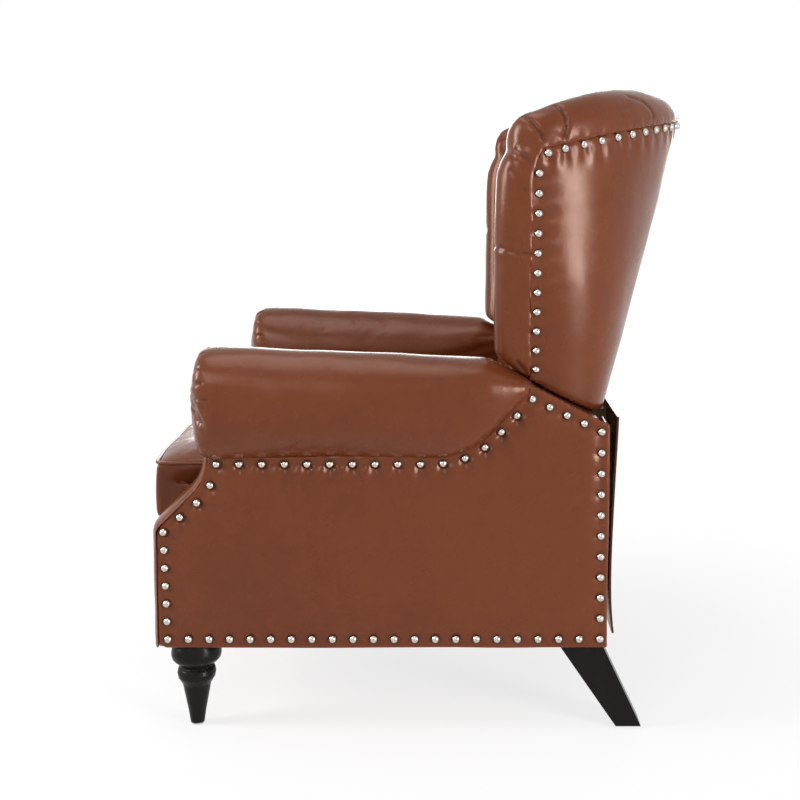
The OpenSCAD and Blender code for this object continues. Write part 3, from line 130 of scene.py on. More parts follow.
def remeshEven(piece, look):
    # even quads of one size, relaxed so that no facet of the solid shows, then pushed out again
    even = piece.modifiers.new("even", "REMESH")
    even.mode, even.voxel_size = "VOXEL", look["voxel"]
    relax = piece.modifiers.new("relax", "SMOOTH")
    relax.factor, relax.iterations = meshLook["relaxFactor"], look["relax"]
    push = piece.modifiers.new("push", "DISPLACE")
    push.strength, push.mid_level = look["push"], 0.0
    applyAll(piece)


def swell(piece, look, tacked):
    # leather filled like a cushion: a few steps of cloth under air pressure
    # tacked(points) says where it can't move
    before = readPoints(piece)
    cloth = piece.modifiers.new("swell", "CLOTH")
    settings = cloth.settings
    settings.quality = clothLook["quality"]
    settings.mass = clothLook["mass"]
    settings.tension_stiffness = settings.compression_stiffness = clothLook["stretch"]
    settings.shear_stiffness = clothLook["shear"]
    settings.bending_stiffness = clothLook["bend"]
    settings.use_pressure = True
    settings.uniform_pressure_force = look["pressure"]
    settings.effector_weights.gravity = 0
    cloth.collision_settings.use_collision = False
    group = piece.vertex_groups.new(name="tacked")
    group.add(np.nonzero(tacked(before))[0].tolist(), 1.0, "REPLACE")
    settings.vertex_group_mass = "tacked"
    for step in range(1, clothLook["steps"] + 1):
        scene.frame_set(step)
    pickOnly(piece)
    bpy.ops.object.modifier_apply(modifier="swell")
    scene.frame_set(1)
    move = readPoints(piece) - before
    length = np.linalg.norm(move, axis=1, keepdims=True)
    writePoints(piece, before + move * np.minimum(1, look["cap"] / np.maximum(length, 1e-9)))


def shadeSmooth(piece, angle=meshLook["smoothAngle"]):
    pickOnly(piece)
    bpy.ops.object.shade_smooth_by_angle(angle=math.radians(angle))


def solidCentres(node):
    # the middle of each separate solid in a CAD node, such as each nail
    mesh = bmesh.new()
    mesh.from_mesh(nodes[node].data)
    bmesh.ops.remove_doubles(mesh, verts=mesh.verts, dist=meshLook["solidMerge"])
    left, centres = set(mesh.verts), []
    while left:
        island, todo = [], [left.pop()]
        while todo:
            vertex = todo.pop()
            island.append(vertex.co.copy())
            for edge in vertex.link_edges:
                other = edge.other_vert(vertex)
                if other in left:
                    left.remove(other)
                    todo.append(other)
        centres.append(sum(island, Vector()) / len(island))
    mesh.free()
    return np.array(sorted([tuple(centre) for centre in centres]))


def mirrorCopy(piece, name):
    twin = cloneMesh(piece, name)
    pickOnly(twin)
    bpy.ops.object.mode_set(mode="EDIT")
    bpy.ops.mesh.select_all(action="SELECT")
    bpy.ops.transform.mirror(constraint_axis=(True, False, False), center_override=(0, 0, 0))
    bpy.ops.mesh.flip_normals()
    bpy.ops.object.mode_set(mode="OBJECT")
    return twin


def dress(piece, finish, body, slot, *replaced):
    piece.data.materials.clear()
    piece.data.materials.append(finish)
    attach(piece, body)
    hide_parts(*replaced)


def dressPad(piece, body, fill, *replaced):
    shadeSmooth(piece)
    dress(piece, leather, body, "brown_leather", *replaced)


def dressArmPair(left, node):
    # the right arm's piece is the left one mirrored
    shadeSmooth(left)
    right = mirrorCopy(left, left.name.replace("Left", "Right"))
    for side, piece in (("left", left), ("right", right)):
        dress(piece, leather, "base", "brown_leather", node + side)


# shaping leather

pullShape = {"start": 0.003, "ridge": 0.45, "ridgeAt": 1.9, "ridgeWidth": 0.8}
seamShape = {"paintedShadeWidth": 0.55, "facing": 0.25}


def bell(distance, width):
    return np.exp(-(distance / width) ** 2)


def nearLine(points, line):
    # distance to a line of points, the share of its length there, the offset from it and its heading
    line = np.array(line, float)
    steps = line[1:] - line[:-1]
    lengths = np.linalg.norm(steps, axis=1)
    run = 0.0
    distance, share = np.full(len(points), 1e9), np.zeros(len(points))
    offset, heading = np.zeros_like(points), np.zeros_like(points)
    for start, step, length in zip(line[:-1], steps, lengths):
        t = np.clip((points - start) @ step / length ** 2, 0, 1)
        away = points - start - t[:, None] * step
        here = np.linalg.norm(away, axis=1)
        closer = here < distance
        distance[closer] = here[closer]
        share[closer] = (run + t[closer] * length) / lengths.sum()
        offset[closer] = away[closer]
        heading[closer] = step / length
        run += length
    return distance, share, offset, heading


class Skin:
    # moves of the leather along its own normals, and the painted shade of its grooves and nail heads,
    # gathered and then written once
    def __init__(self, piece, look=None, along=(1.0, 1.0, 1.0)):
        self.piece, self.along = piece, np.array(along)
        self.points, self.normals = readPoints(piece), readNormals(piece)
        self.lift, self.seam = np.zeros(len(self.points)), np.zeros(len(self.points))
        self.part = np.ones(len(self.points))
        if look is not None:  # only the leather that faces this way is worked
            self.part = (self.normals @ np.array(look) > seamShape["facing"]) * 1.0

    def press(self, centre, width, depth):
        away = np.linalg.norm((self.points - np.array(centre)) * self.along, axis=1)
        self.lift -= depth * bell(away, width) * self.part
        return away

    def pucker(self, start, heading, length, width, depth):
        # a pull that starts deep at a nail or button, with a ridge on either side, widens and fades
        heading = np.array(heading, float) / np.linalg.norm(heading)
        away = (self.points - np.array(start)) * self.along
        ahead = away @ heading
        beside = np.linalg.norm(away - ahead[:, None] * heading, axis=1)
        fade = np.clip(ahead / pullShape["start"], 0, 1) * np.exp(-(np.maximum(ahead, 0) / length) ** 2)
        wide = width * (1 + np.maximum(ahead, 0) / length)
        ridge = bell(beside - pullShape["ridgeAt"] * wide, pullShape["ridgeWidth"] * wide)
        self.lift += depth * fade * (pullShape["ridge"] * ridge - bell(beside, wide)) * self.part

    def crease(self, line, width, depth, overlap, reach, taper, dark):
        # a sewn pleat: a narrow groove, with the leather on one side standing a little higher, and shade
        # painted along the groove
        distance, share, offset, heading = nearLine(self.points * self.along, np.array(line) * self.along)
        ends = np.clip(np.minimum(share, 1 - share) / taper, 0, 1) if taper else 1.0
        side = (np.cross(heading, self.normals) * offset).sum(axis=1) > 0
        raised = overlap * side * bell(distance, reach)
        self.lift += (raised - depth * bell(distance, width)) * ends * self.part
        # painted shade along the groove's bottom, kept in the seam attribute
        groove = bell(distance, width * seamShape["paintedShadeWidth"]) * ends * self.part
        self.seam = np.maximum(self.seam, dark * groove)

    def ripple(self, size, height, seed):
        shift = Vector((seed, 2.3 * seed, -seed))
        waves = [noise.noise(Vector(point) / size + shift) for point in self.points]
        self.lift += height * np.array(waves) * self.part

    def write(self):
        writePoints(self.piece, self.points + self.normals * self.lift[:, None])
        store = self.piece.data.attributes.new("seam", "FLOAT", "POINT")
        store.data.foreach_set("value", self.seam.astype(np.float32))


# materials


class Wire:
    # a socket that takes part in sums
    def __init__(self, tree, socket):
        self.tree, self.socket = tree, socket

    def calc(self, operation, other):
        node = self.tree.nodes.new("ShaderNodeMath")
        node.operation = operation
        self.tree.links.new(self.socket, node.inputs[0])
        if isinstance(other, Wire):
            self.tree.links.new(other.socket, node.inputs[1])
        else:
            node.inputs[1].default_value = other
        return Wire(self.tree, node.outputs[0])

    def __add__(self, other):
        return self.calc("ADD", other)

    def __mul__(self, other):
        return self.calc("MULTIPLY", other)

    __radd__ = __add__
    __rmul__ = __mul__


class NodeTree:
    def __init__(self, tree):
        self.tree = tree

    def put(self, kind, settings=None, out=0, **inputs):
        # any node: its type, its settings, and the values or wires of its sockets, by name or as i0, i1
        node = self.tree.nodes.new(kind)
        for key, value in (settings or {}).items():
            setattr(node, key, value)
        for key, value in inputs.items():
            numbered = key[0] == "i" and key[1:].isdigit()
            socket = node.inputs[int(key[1:])] if numbered else node.inputs[key.replace("_", " ")]
            if isinstance(value, Wire):
                self.tree.links.new(value.socket, socket)
            else:
                socket.default_value = value
        return Wire(self.tree, node.outputs[out])

    def seenStraight(self):
        # 1 for the rays that see the white studio: camera, glossy and transmission
        camera, glossy, through = [self.put("ShaderNodeLightPath", out=kind) for kind in
                                   ("Is Camera Ray", "Is Glossy Ray", "Is Transmission Ray")]
        return camera.calc("MAXIMUM", glossy).calc("MAXIMUM", through)


class Finish(NodeTree):
    def __init__(self, name, **plain):
        self.material = bpy.data.materials.new(name)
        self.material.use_nodes = True
        super().__init__(self.material.node_tree)
        self.shader = self.tree.nodes["Principled BSDF"]
        for socket, value in plain.items():
            self.shader.inputs[socket.replace("_", " ")].default_value = value
        self.place = self.put("ShaderNodeTexCoord", out="Object")

    def noise(self, recipe, stretch=None):
        # recipe: scale, detail, roughness
        scale, detail, rough = recipe
        place = self.place
        if stretch:
            place = self.put("ShaderNodeMapping", Vector=place, Scale=stretch)
        return self.put("ShaderNodeTexNoise", out="Fac", Vector=place, Scale=scale, Detail=detail,
                        Roughness=rough)

    def span(self, value, low, high, to=(0.0, 1.0)):
        return self.put("ShaderNodeMapRange", Value=value, From_Min=low, From_Max=high,
                        To_Min=to[0], To_Max=to[1])

    def mask(self, recipe, to=(0.0, 1.0)):
        # recipe: scale, detail, roughness, and the two noise levels between which the mask rises
        return self.span(self.noise(recipe[:3]), recipe[3], recipe[4], to)

    def blend(self, share, first, second):
        return self.put("ShaderNodeMix", {"data_type": "RGBA"}, out=2, i0=share, i6=first, i7=second)

    def bump(self, height, distance, strength, **more):
        return self.put("ShaderNodeBump", Height=height, Distance=distance, Strength=strength, **more)

    def feed(self, **sockets):
        for key, wire in sockets.items():
            self.tree.links.new(wire.socket, self.shader.inputs[key.replace("_", " ")])
        return self.material


def colour(red, green, blue):
    return (red, green, blue, 1.0)


leatherLook = {
    "base": colour(0.121, 0.0288, 0.0084),
    "dark": colour(0.087, 0.0190, 0.0055),
    "light": colour(0.152, 0.0377, 0.0120),
    # the seam colour is painted shade in the grooves of pleats, folds, gathers and hems and round nail heads;
    # the rear flap is darkened towards it all over
    "seam": colour(0.030, 0.008, 0.004),
    "patches": (4.5, 4.0, 0.55, 0.35, 0.65), "patchShare": 0.55,
    "mottle": (48.0, 5.0, 0.62, 0.32, 0.72), "mottleShare": 0.38,
    "flecks": (210.0, 3.0, 0.60, 0.52, 0.80), "fleckShare": 0.30,
    "pebbleScale": 620.0, "pebbleSoftness": 0.7, "pebbleShare": 0.8,
    "wrinkle": (150.0, 5.0, 0.65), "grain": 0.00011, "grainStrength": 0.8,
    "hide": (13.0, 2.0, 0.45), "hideDepth": 0.0009,
    "wear": (22.0, 4.0, 0.5, 0.3, 0.7), "roughness": (0.21, 0.31),
    "gloss": 0.38, "glossTint": colour(1.0, 0.72, 0.62),
}


def makeLeather():
    look = leatherLook
    finish = Finish("brownLeather", Specular_IOR_Level=look["gloss"], Specular_Tint=look["glossTint"])
    tone = finish.blend(finish.mask(look["patches"]) * look["patchShare"], look["base"], look["dark"])
    tone = finish.blend(finish.mask(look["mottle"]) * look["mottleShare"], tone, look["light"])
    tone = finish.blend(finish.mask(look["flecks"]) * look["fleckShare"], tone, look["dark"])
    # painted shade: the seam attribute darkens the tone in grooves and round nail heads
    seam = finish.put("ShaderNodeAttribute", {"attribute_name": "seam"}, out="Fac")
    tone = finish.blend(seam, tone, look["seam"])
    pebble = finish.put("ShaderNodeTexVoronoi", {"feature": "SMOOTH_F1"}, out="Distance",
                        Vector=finish.place, Scale=look["pebbleScale"], Smoothness=look["pebbleSoftness"])
    fine = finish.bump(pebble * look["pebbleShare"] + finish.noise(look["wrinkle"]), look["grain"],
                       look["grainStrength"])
    hide = finish.bump(finish.noise(look["hide"]), look["hideDepth"], 1.0, Normal=fine)
    worn = finish.mask(look["wear"], look["roughness"])
    return finish.feed(Base_Color=tone, Roughness=worn, Normal=hide)


nickelLook = {
    "bright": colour(0.60, 0.56, 0.51), "dull": colour(0.20, 0.165, 0.13),
    "spots": (330.0, 3.0, 0.6, 0.45, 0.8), "spotShare": 0.6,
    "wear": (200.0, 2.0, 0.5, 0.3, 0.7), "roughness": (0.06, 0.14),
    "dents": (260.0, 2.0, 0.5), "dentDepth": 0.0001, "dentStrength": 0.35,
}


def makeNickel():
    look = nickelLook
    finish = Finish("polishedNickel", Metallic=1.0)
    tone = finish.blend(finish.mask(look["spots"]) * look["spotShare"], look["bright"], look["dull"])
    dents = finish.bump(finish.noise(look["dents"]), look["dentDepth"], look["dentStrength"])
    return finish.feed(Base_Color=tone, Roughness=finish.mask(look["wear"], look["roughness"]),
                       Normal=dents)


springLook = {
    "dark": colour(0.20, 0.19, 0.18), "light": colour(0.34, 0.32, 0.30),
    "dust": (90.0, 4.0, 0.6, 0.35, 0.7),
    "wear": (40.0, 3.0, 0.5, 0.3, 0.7), "roughness": (0.32, 0.5),
    "grain": (900.0, 2.0, 0.5), "grainDepth": 0.00005, "grainStrength": 0.6,
}


def makeSpringSteel():
    look = springLook
    finish = Finish("springSteel", Metallic=1.0)
    grain = finish.bump(finish.noise(look["grain"]), look["grainDepth"], look["grainStrength"])
    return finish.feed(Base_Color=finish.blend(finish.mask(look["dust"]), look["dark"], look["light"]),
                       Roughness=finish.mask(look["wear"], look["roughness"]), Normal=grain)


paintLook = {
    "paint": colour(0.018, 0.018, 0.019), "worn": colour(0.06, 0.058, 0.055),
    "rubs": (70.0, 5.0, 0.65, 0.55, 0.8), "rubShare": 0.6,
    "sheen": (35.0, 3.0, 0.5, 0.3, 0.7), "roughness": (0.38, 0.55),
    "peel": (650.0, 2.0, 0.5), "peelDepth": 0.0001, "peelStrength": 0.5,
    "coat": 0.15, "coatRoughness": 0.3,
}


def makePaintedSteel():
    look = paintLook
    finish = Finish("blackPaintedSteel", Metallic=0.0, Coat_Weight=look["coat"],
                    Coat_Roughness=look["coatRoughness"])
    tone = finish.blend(finish.mask(look["rubs"]) * look["rubShare"], look["paint"], look["worn"])
    peel = finish.bump(finish.noise(look["peel"]), look["peelDepth"], look["peelStrength"])
    return finish.feed(Base_Color=tone, Roughness=finish.mask(look["sheen"], look["roughness"]),
                       Normal=peel)


lacquerLook = {
    "dark": colour(0.004, 0.0035, 0.003), "light": colour(0.011, 0.010, 0.009),
    "grain": (30.0, 5.0, 0.6), "grainStretch": (1.0, 1.0, 0.08),
    "wearSpan": (0.3, 0.7), "roughness": (0.22, 0.36),
    "pores": (55.0, 5.0, 0.6), "poreStretch": (1.0, 1.0, 0.06), "poreDepth": 0.0002, "poreStrength": 0.5,
    "gloss": 0.08, "coat": 0.06, "coatRoughness": 0.1,
}


def makeLacquer():
    look = lacquerLook
    finish = Finish("blackLacquer", Specular_IOR_Level=look["gloss"], Coat_Weight=look["coat"],
                    Coat_Roughness=look["coatRoughness"])
    grain = finish.noise(look["grain"], look["grainStretch"])
    pores = finish.noise(look["pores"], look["poreStretch"])
    return finish.feed(Base_Color=finish.blend(grain, look["dark"], look["light"]),
                       Roughness=finish.span(grain, *look["wearSpan"], look["roughness"]),
                       Normal=finish.bump(pores, look["poreDepth"], look["poreStrength"]))


woodLook = {
    "pale": colour(0.52, 0.36, 0.20), "dark": colour(0.38, 0.25, 0.13), "gloss": 0.35,
    "rings": (38.0, 6.0, 0.6), "ringSpan": (0.35, 0.65),
    "fibre": (260.0, 3.0, 0.6), "fibreSpan": (0.5, 0.8), "fibreShare": 0.4,
    "wearSpan": (0.3, 0.7), "roughness": (0.55, 0.75), "fibreDepth": 0.0002, "fibreStrength": 0.6,
    "grainStretch": 0.08,
}


def makeWood(name, axis):
    # the grain is drawn out along one axis
    look = woodLook
    stretch = [1.0, 1.0, 1.0]
    stretch[axis] = look["grainStretch"]
    finish = Finish(name, Specular_IOR_Level=look["gloss"])
    rings = finish.noise(look["rings"], stretch)
    fibre = finish.noise(look["fibre"], stretch)
    tone = finish.blend(finish.span(rings, *look["ringSpan"]), look["pale"], look["dark"])
    tone = finish.blend(finish.span(fibre, *look["fibreSpan"]) * look["fibreShare"], tone, look["dark"])
    return finish.feed(Base_Color=tone, Roughness=finish.span(rings, *look["wearSpan"], look["roughness"]),
                       Normal=finish.bump(fibre, look["fibreDepth"], look["fibreStrength"]))


plasticLook = {
    "clean": colour(0.60, 0.59, 0.56), "scuffed": colour(0.40, 0.39, 0.36), "gloss": 0.4,
    "scuffs": (120.0, 4.0, 0.5, 0.4, 0.7), "roughness": (0.4, 0.6),
}


def makePlastic():
    look = plasticLook
    finish = Finish("glidePlastic", Specular_IOR_Level=look["gloss"])
    scuffs = finish.mask(look["scuffs"])
    return finish.feed(Base_Color=finish.blend(scuffs, look["clean"], look["scuffed"]),
                       Roughness=finish.span(scuffs, 0.0, 1.0, look["roughness"]))


leather = makeLeather()
nickel = makeNickel()
paintedSteel = makePaintedSteel()
springSteel = makeSpringSteel()
lacquer = makeLacquer()
woodAcross, woodAlong, woodUp = [makeWood(name, axis) for axis, name in
                                 enumerate(("frameWoodAcross", "frameWoodAlong", "frameWoodUp"))]
glidePlastic = makePlastic()
print("materials made")

nodeFinishes = {
    "arm_frame": woodAlong, "side_rail": woodAlong, "front_rail": woodAcross,
    "rear_rail": lacquer, "front_leg": lacquer, "rear_leg": lacquer, "leg_bolts": springSteel,
    "leg_glides": glidePlastic, "mechanism_rail": paintedSteel, "rear_rocker": paintedSteel,
    "torque_tube": paintedSteel, "front_rocker": paintedSteel, "seat_frame": woodAlong,
    "seat_springs": springSteel, "spring_clips": springSteel, "seat_plate": paintedSteel,
    "lift_link": paintedSteel, "guide_link": paintedSteel, "carrier_link": paintedSteel,
    "upper_link": paintedSteel, "footrest_board": woodAcross, "footrest_bracket": paintedSteel,
    "back_frame": woodUp, "wing_board": woodUp, "back_springs": springSteel,
    "nailheads": nickel, "back_bracket": paintedSteel,
}
for nodeName, node in nodes.items():
    for key, finish in nodeFinishes.items():
        if key in nodeName:
            node.data.materials.clear()
            node.data.materials.append(finish)

# nail heads and turned legs, smooth where the solids have facets

smoothAngles = {"nail": 50, "leg": 32}


def makeSmooth(name, node, finish, body, slot, angle):
    piece = copyNode(name, node)
    shadeSmooth(piece, angle)
    dress(piece, finish, body, slot, node)


armNails = solidCentres("arm_nailheads_left")
backNails = solidCentres("back_nailheads")
for side in ("left", "right"):
    makeSmooth("armNails" + side.title(), "arm_nailheads_" + side, nickel, "base", "nickel_steel",
               smoothAngles["nail"])
    makeSmooth("frontLeg" + side.title(), "front_leg_" + side, lacquer, "base", "black_wood",
               smoothAngles["leg"])
makeSmooth("backNails", "back_nailheads", nickel, "back", "nickel_steel", smoothAngles["nail"])
print("nails and front legs made")

# how the leather gives way at a nail: a dip, a shadow round the head, and a trough from nail to nail
nailLook = {"dip": 0.0011, "dipWidth": 0.0085, "shadow": 0.55, "shadowWidth": 0.0078,
            "trough": 0.0012, "troughWidth": 0.0075}
vary = np.random.default_rng(7).uniform

# arms

armLook = {
    "voxel": 0.0055, "relax": 12, "push": 0.0008, "pressure": 3.0, "cap": 0.006, "fill": 0.8,
    "tackedBelow": 0.432, "tackedBehind": 0.15,
    "ripple": (0.075, 0.0016, 3.1),
    # the roll's lower rim comes down onto the panel
    "rim": 0.0024, "rimOutside": 0.312, "rimBelow": 0.62, "rimBehind": -0.40, "rimFacing": 0.25,
    # short pulls up from each nail into the roll
    "seamAbove": 0.424, "seamBefore": 0.145, "pullStart": (0.004, 0.0, 0.008), "pullHeading": (0.15, 0, 1),
    "pull": 0.0022, "pullLength": 0.011, "pullWidth": 0.0026,
    # gathers on the front of the roll
    "rollCentre": (0.2907, 0.545), "rollAcross": 0.0646, "rollHigh": 0.066, "gatherSpan": (0.42, 1.06),
    "gatherTurns": (-40, -12, 14, 40, 66, 90, 114, 140, 166, 192, 220),
    "frontFacing": -0.15, "frontBefore": -0.30,
    "gatherWidth": 0.0026, "gatherDepth": 0.0022, "gatherRaise": 0.0007,
    # the gathers' grooves are darkened with painted shade
    "gatherReach": 0.010, "gatherPaintedShade": 0.45,
}


def makeArmPad():
    look = armLook
    pad = copyNode("armPadLeft", "arm_pad_left")
    remeshEven(pad, look)
    swell(pad, look, lambda p: (p[:, 2] < look["tackedBelow"]) | (p[:, 1] > look["tackedBehind"]))
    soften(pad, 0, 1)
    skin = Skin(pad)
    skin.ripple(*look["ripple"])
    x, y, z = skin.points.T
    outerRim = (x > look["rimOutside"]) & (z < look["rimBelow"]) & (y > look["rimBehind"])
    skin.lift += look["rim"] * np.clip(-skin.normals[:, 2] - look["rimFacing"], 0, 1) * outerRim
    for nail in armNails:
        if nail[2] > look["seamAbove"] and nail[1] < look["seamBefore"]:
            skin.pucker(nail + np.array(look["pullStart"]), look["pullHeading"], look["pullLength"],
                        look["pullWidth"], look["pull"] * vary(0.7, 1.3))
    skin.part = (skin.normals[:, 1] < look["frontFacing"]) & (y < look["frontBefore"])
    skin.along = np.array([1.0, 0.0, 1.0])
    for turn in look["gatherTurns"]:
        turn = math.radians(turn + vary(-5, 5))
        across, high = look["rollAcross"] * math.cos(turn), look["rollHigh"] * math.sin(turn)
        ray = [(look["rollCentre"][0] + across * s, 0, look["rollCentre"][1] + high * s)
               for s in look["gatherSpan"]]
        skin.crease(ray, look["gatherWidth"], look["gatherDepth"] * vary(0.7, 1.2), look["gatherRaise"],
                    look["gatherReach"], 0.0, look["gatherPaintedShade"])
    skin.write()
    return pad


dressArmPair(makeArmPad(), "arm_pad_")
print("arm pads made")

panelLook = {
    "voxel": 0.0046, "relax": 3, "push": 0.0006, "fill": 0.9,
    "nailGap": 0.041,  # nails closer than this stand in one row
    "crown": 0.0040, "crownWidth": (0.015, 0.030),  # under the roll, and low down
    "crownFrom": 0.30, "crownRise": 0.08,
    "rim": 0.0024, "rimAbove": 0.40,
    # under the roll and down the sweep the leather is pulled hardest
    "tightAbove": 0.30, "tightBefore": 0.15, "tightDip": 1.7,
    "tightHeading": (0, 0, -1), "sweepBefore": -0.31, "sweepHeading": (0, 0.75, -0.66),
    "tightLength": 0.021, "tightWidth": 0.0048, "tightDepth": 0.0034,
    "middle": (0.0, 0.30), "bottomRow": 0.17, "bottomTilt": 0.2,
    "softLength": 0.015, "softWidth": 0.0040, "softDepth": 0.0010,
    "ripple": (0.11, 0.0016, 5.7),
}


def makeArmPanel():
    look = panelLook
    panel = copyNode("armPanelLeft", "arm_outer_panel_left")
    remeshEven(panel, look)
    soften(panel, 0, 1)
    skin = Skin(panel, (1, 0, 0), (0.0, 1.0, 1.0))
    near = np.full(len(skin.points), 1e9)
    for i, nail in enumerate(armNails):
        for other in armNails[i + 1:]:
            if np.linalg.norm(nail - other) < look["nailGap"]:
                row = nearLine(skin.points * skin.along, [nail * skin.along, other * skin.along])[0]
                near = np.minimum(near, row)
    height = skin.points[:, 2]
    high = np.clip((height - look["crownFrom"]) / look["crownRise"], 0, 1)
    highWidth, lowWidth = look["crownWidth"]
    crownWidth = lowWidth + high * (highWidth - lowWidth)
    skin.lift += look["crown"] * (1 - bell(near, crownWidth)) * skin.part
    skin.lift += look["rim"] * np.clip(skin.normals[:, 2], 0, 1) * (height > look["rimAbove"])
    skin.lift -= nailLook["trough"] * bell(near, nailLook["troughWidth"]) * skin.part
    for nail in armNails:
        tight = nail[2] > look["tightAbove"] and nail[1] < look["tightBefore"]
        dip = nailLook["dip"] * vary(0.8, 1.4) * (look["tightDip"] if tight else 1)
        away = skin.press(nail, nailLook["dipWidth"], dip)
        skin.seam = np.maximum(skin.seam, nailLook["shadow"] * bell(away, nailLook["shadowWidth"]))
        if tight:
            heading = look["tightHeading"] if nail[1] > look["sweepBefore"] else look["sweepHeading"]
            skin.pucker(nail, heading, look["tightLength"] * vary(0.8, 1.3), look["tightWidth"],
                        look["tightDepth"] * vary(0.7, 1.3))
        else:  # the lower nails pull from the panel's middle
            back, up = look["middle"][0] - nail[1], look["middle"][1] - nail[2]
            heading = (0, 0, up) if nail[2] < look["bottomRow"] else (0, back, look["bottomTilt"] * up)
            skin.pucker(nail, heading, look["softLength"], look["softWidth"],
                        look["softDepth"] * vary(0.5, 1.3))
    skin.ripple(*look["ripple"])
    skin.write()
    return panel


dressArmPair(makeArmPanel(), "arm_outer_panel_")

facingLook = {"edge": 0.0012, "levels": 3, "fill": 0.8, "ripple": (0.05, 0.0012, 9.2)}


def makeFacing():
    facing = copyNode("armFacingLeft", "arm_facing_left")
    soften(facing, facingLook["edge"], facingLook["levels"])
    skin = Skin(facing)
    skin.ripple(*facingLook["ripple"])
    skin.write()
    return facing


dressArmPair(makeFacing(), "arm_facing_")
print("arm panels and facings made")

# back

# the nails over the top of the back, as against those down its sides
topRow = {"above": 0.90, "behind": 0.19}


def inTopRow(nail):
    return nail[2] > topRow["above"] and nail[1] > topRow["behind"]


shellLook = {
    "edge": 0.0015, "levels": 2, "voxel": 0.0042, "relax": 2, "push": 0.0004, "fill": 0.9,
    "middle": (0.0, 0.24, 0.75), "crown": 0.003, "crownWidth": 0.024,
    "rim": 0.0035, "rimBefore": 0.185, "rimOutside": 0.26,
    "pullLength": 0.020, "pullWidth": 0.004, "topPull": 0.0020, "sidePull": 0.0019,
    "sideLean": 0.25, "sideRise": 0.15,
    "ripple": (0.12, 0.0022, 1.4),
}


def makeShell():
    look = shellLook
    shell = copyNode("outsideBack", "back_outer_panel")
    soften(shell, look["edge"], look["levels"])
    remeshEven(shell, look)
    skin = Skin(shell)
    outward = ((skin.points - np.array(look["middle"])) * skin.normals)[:, :2].sum(axis=1)
    skin.part = (outward > 0) * 1.0
    near = np.full(len(skin.points), 1e9)
    for nail in backNails:
        away = skin.press(nail, nailLook["dipWidth"], nailLook["dip"] * vary(0.8, 1.5))
        near = np.minimum(near, away)
        shadow = nailLook["shadow"] * bell(away, nailLook["shadowWidth"]) * skin.part
        skin.seam = np.maximum(skin.seam, shadow)
        if inTopRow(nail):
            heading, depth = (0, 0, -1), look["topPull"]
        else:
            heading = (-look["sideLean"] * np.sign(nail[0]), 1, look["sideRise"])
            depth = look["sidePull"]
        skin.pucker(nail, heading, look["pullLength"] * vary(0.8, 1.4), look["pullWidth"],
                    depth * vary(0.6, 1.3))
    skin.lift += look["crown"] * (1 - bell(near, look["crownWidth"])) * skin.part
    frontRim = (skin.points[:, 1] < look["rimBefore"]) & (abs(skin.points[:, 0]) > look["rimOutside"])
    skin.lift += look["rim"] * np.clip(-skin.normals[:, 1], 0, 1) * frontRim
    skin.ripple(*look["ripple"])
    skin.write()
    return shell


dressPad(makeShell(), "back", shellLook["fill"], "back_outer_panel")

wingLook = {
    "edge": 0.004, "levels": 2, "voxel": 0.0062, "relax": 5, "push": 0.0016, "fill": 0.8,
    "sink": 0.004, "undersideFacing": -0.5,  # the roll's underside goes down into the wings
    # the pleats' grooves are darkened with painted shade
    "pleatTaper": 0.12, "pleatPaintedShade": 0.85,
    "topPull": (0.012, 0.003, 0.0014), "topStart": (0, 0, 0.006),
    "sidePull": (0.018, 0.0034, 0.0020), "sideLean": 0.1,
    "rim": 0.0035, "rimRange": (0.150, 0.185), "rimOutside": 0.26,
    "ripple": (0.07, 0.0020, 8.3),
}
# sewn pleats of the left wing and corner: line, groove width, depth, raised side, its reach
wingPleats = [
    ([(0.3000, 0.1500, 0.968), (0.3054, 0.1556, 0.963), (0.3208, 0.1709, 0.952), (0.3250, 0.1804, 0.9395),
      (0.3263, 0.1865, 0.9237)], 0.0034, 0.0042, 0.0024, 0.020),
    ([(0.2900, 0.2060, 0.985), (0.3023, 0.2129, 0.9761), (0.3087, 0.2218, 0.963), (0.3125, 0.2229, 0.9475),
      (0.3157, 0.2171, 0.9284)], 0.0034, 0.0040, -0.0022, 0.018),
    ([(0.2750, 0.1120, 0.764), (0.2973, 0.1160, 0.7634), (0.3068, 0.1219, 0.7626), (0.3172, 0.1423, 0.7574),
      (0.3179, 0.1596, 0.7559), (0.3150, 0.1760, 0.7540)], 0.0032, 0.0028, 0.0014, 0.014),
    ([(0.3119, 0.1415, 0.9175), (0.3264, 0.1551, 0.9058), (0.3281, 0.1694, 0.8939)],
     0.0034, 0.0030, 0.0008, 0.01),
    ([(0.3179, 0.1381, 0.9049), (0.3285, 0.1582, 0.8804)], 0.0036, 0.0028, 0.0006, 0.01),
    ([(0.3230, 0.1349, 0.8862), (0.3265, 0.1600, 0.8488)], 0.0036, 0.0029, 0.0006, 0.01),
    ([(0.2982, 0.1462, 0.5899), (0.2960, 0.1572, 0.5755), (0.2940, 0.1667, 0.5626)],
     0.0040, 0.0025, 0.0010, 0.012),
    ([(0.2271, 0.3207, 0.9993), (0.2047, 0.3532, 0.9915), (0.1943, 0.3706, 0.9725), (0.1992, 0.3687, 0.9553)],
     0.0040, 0.0026, 0.0012, 0.016),
]


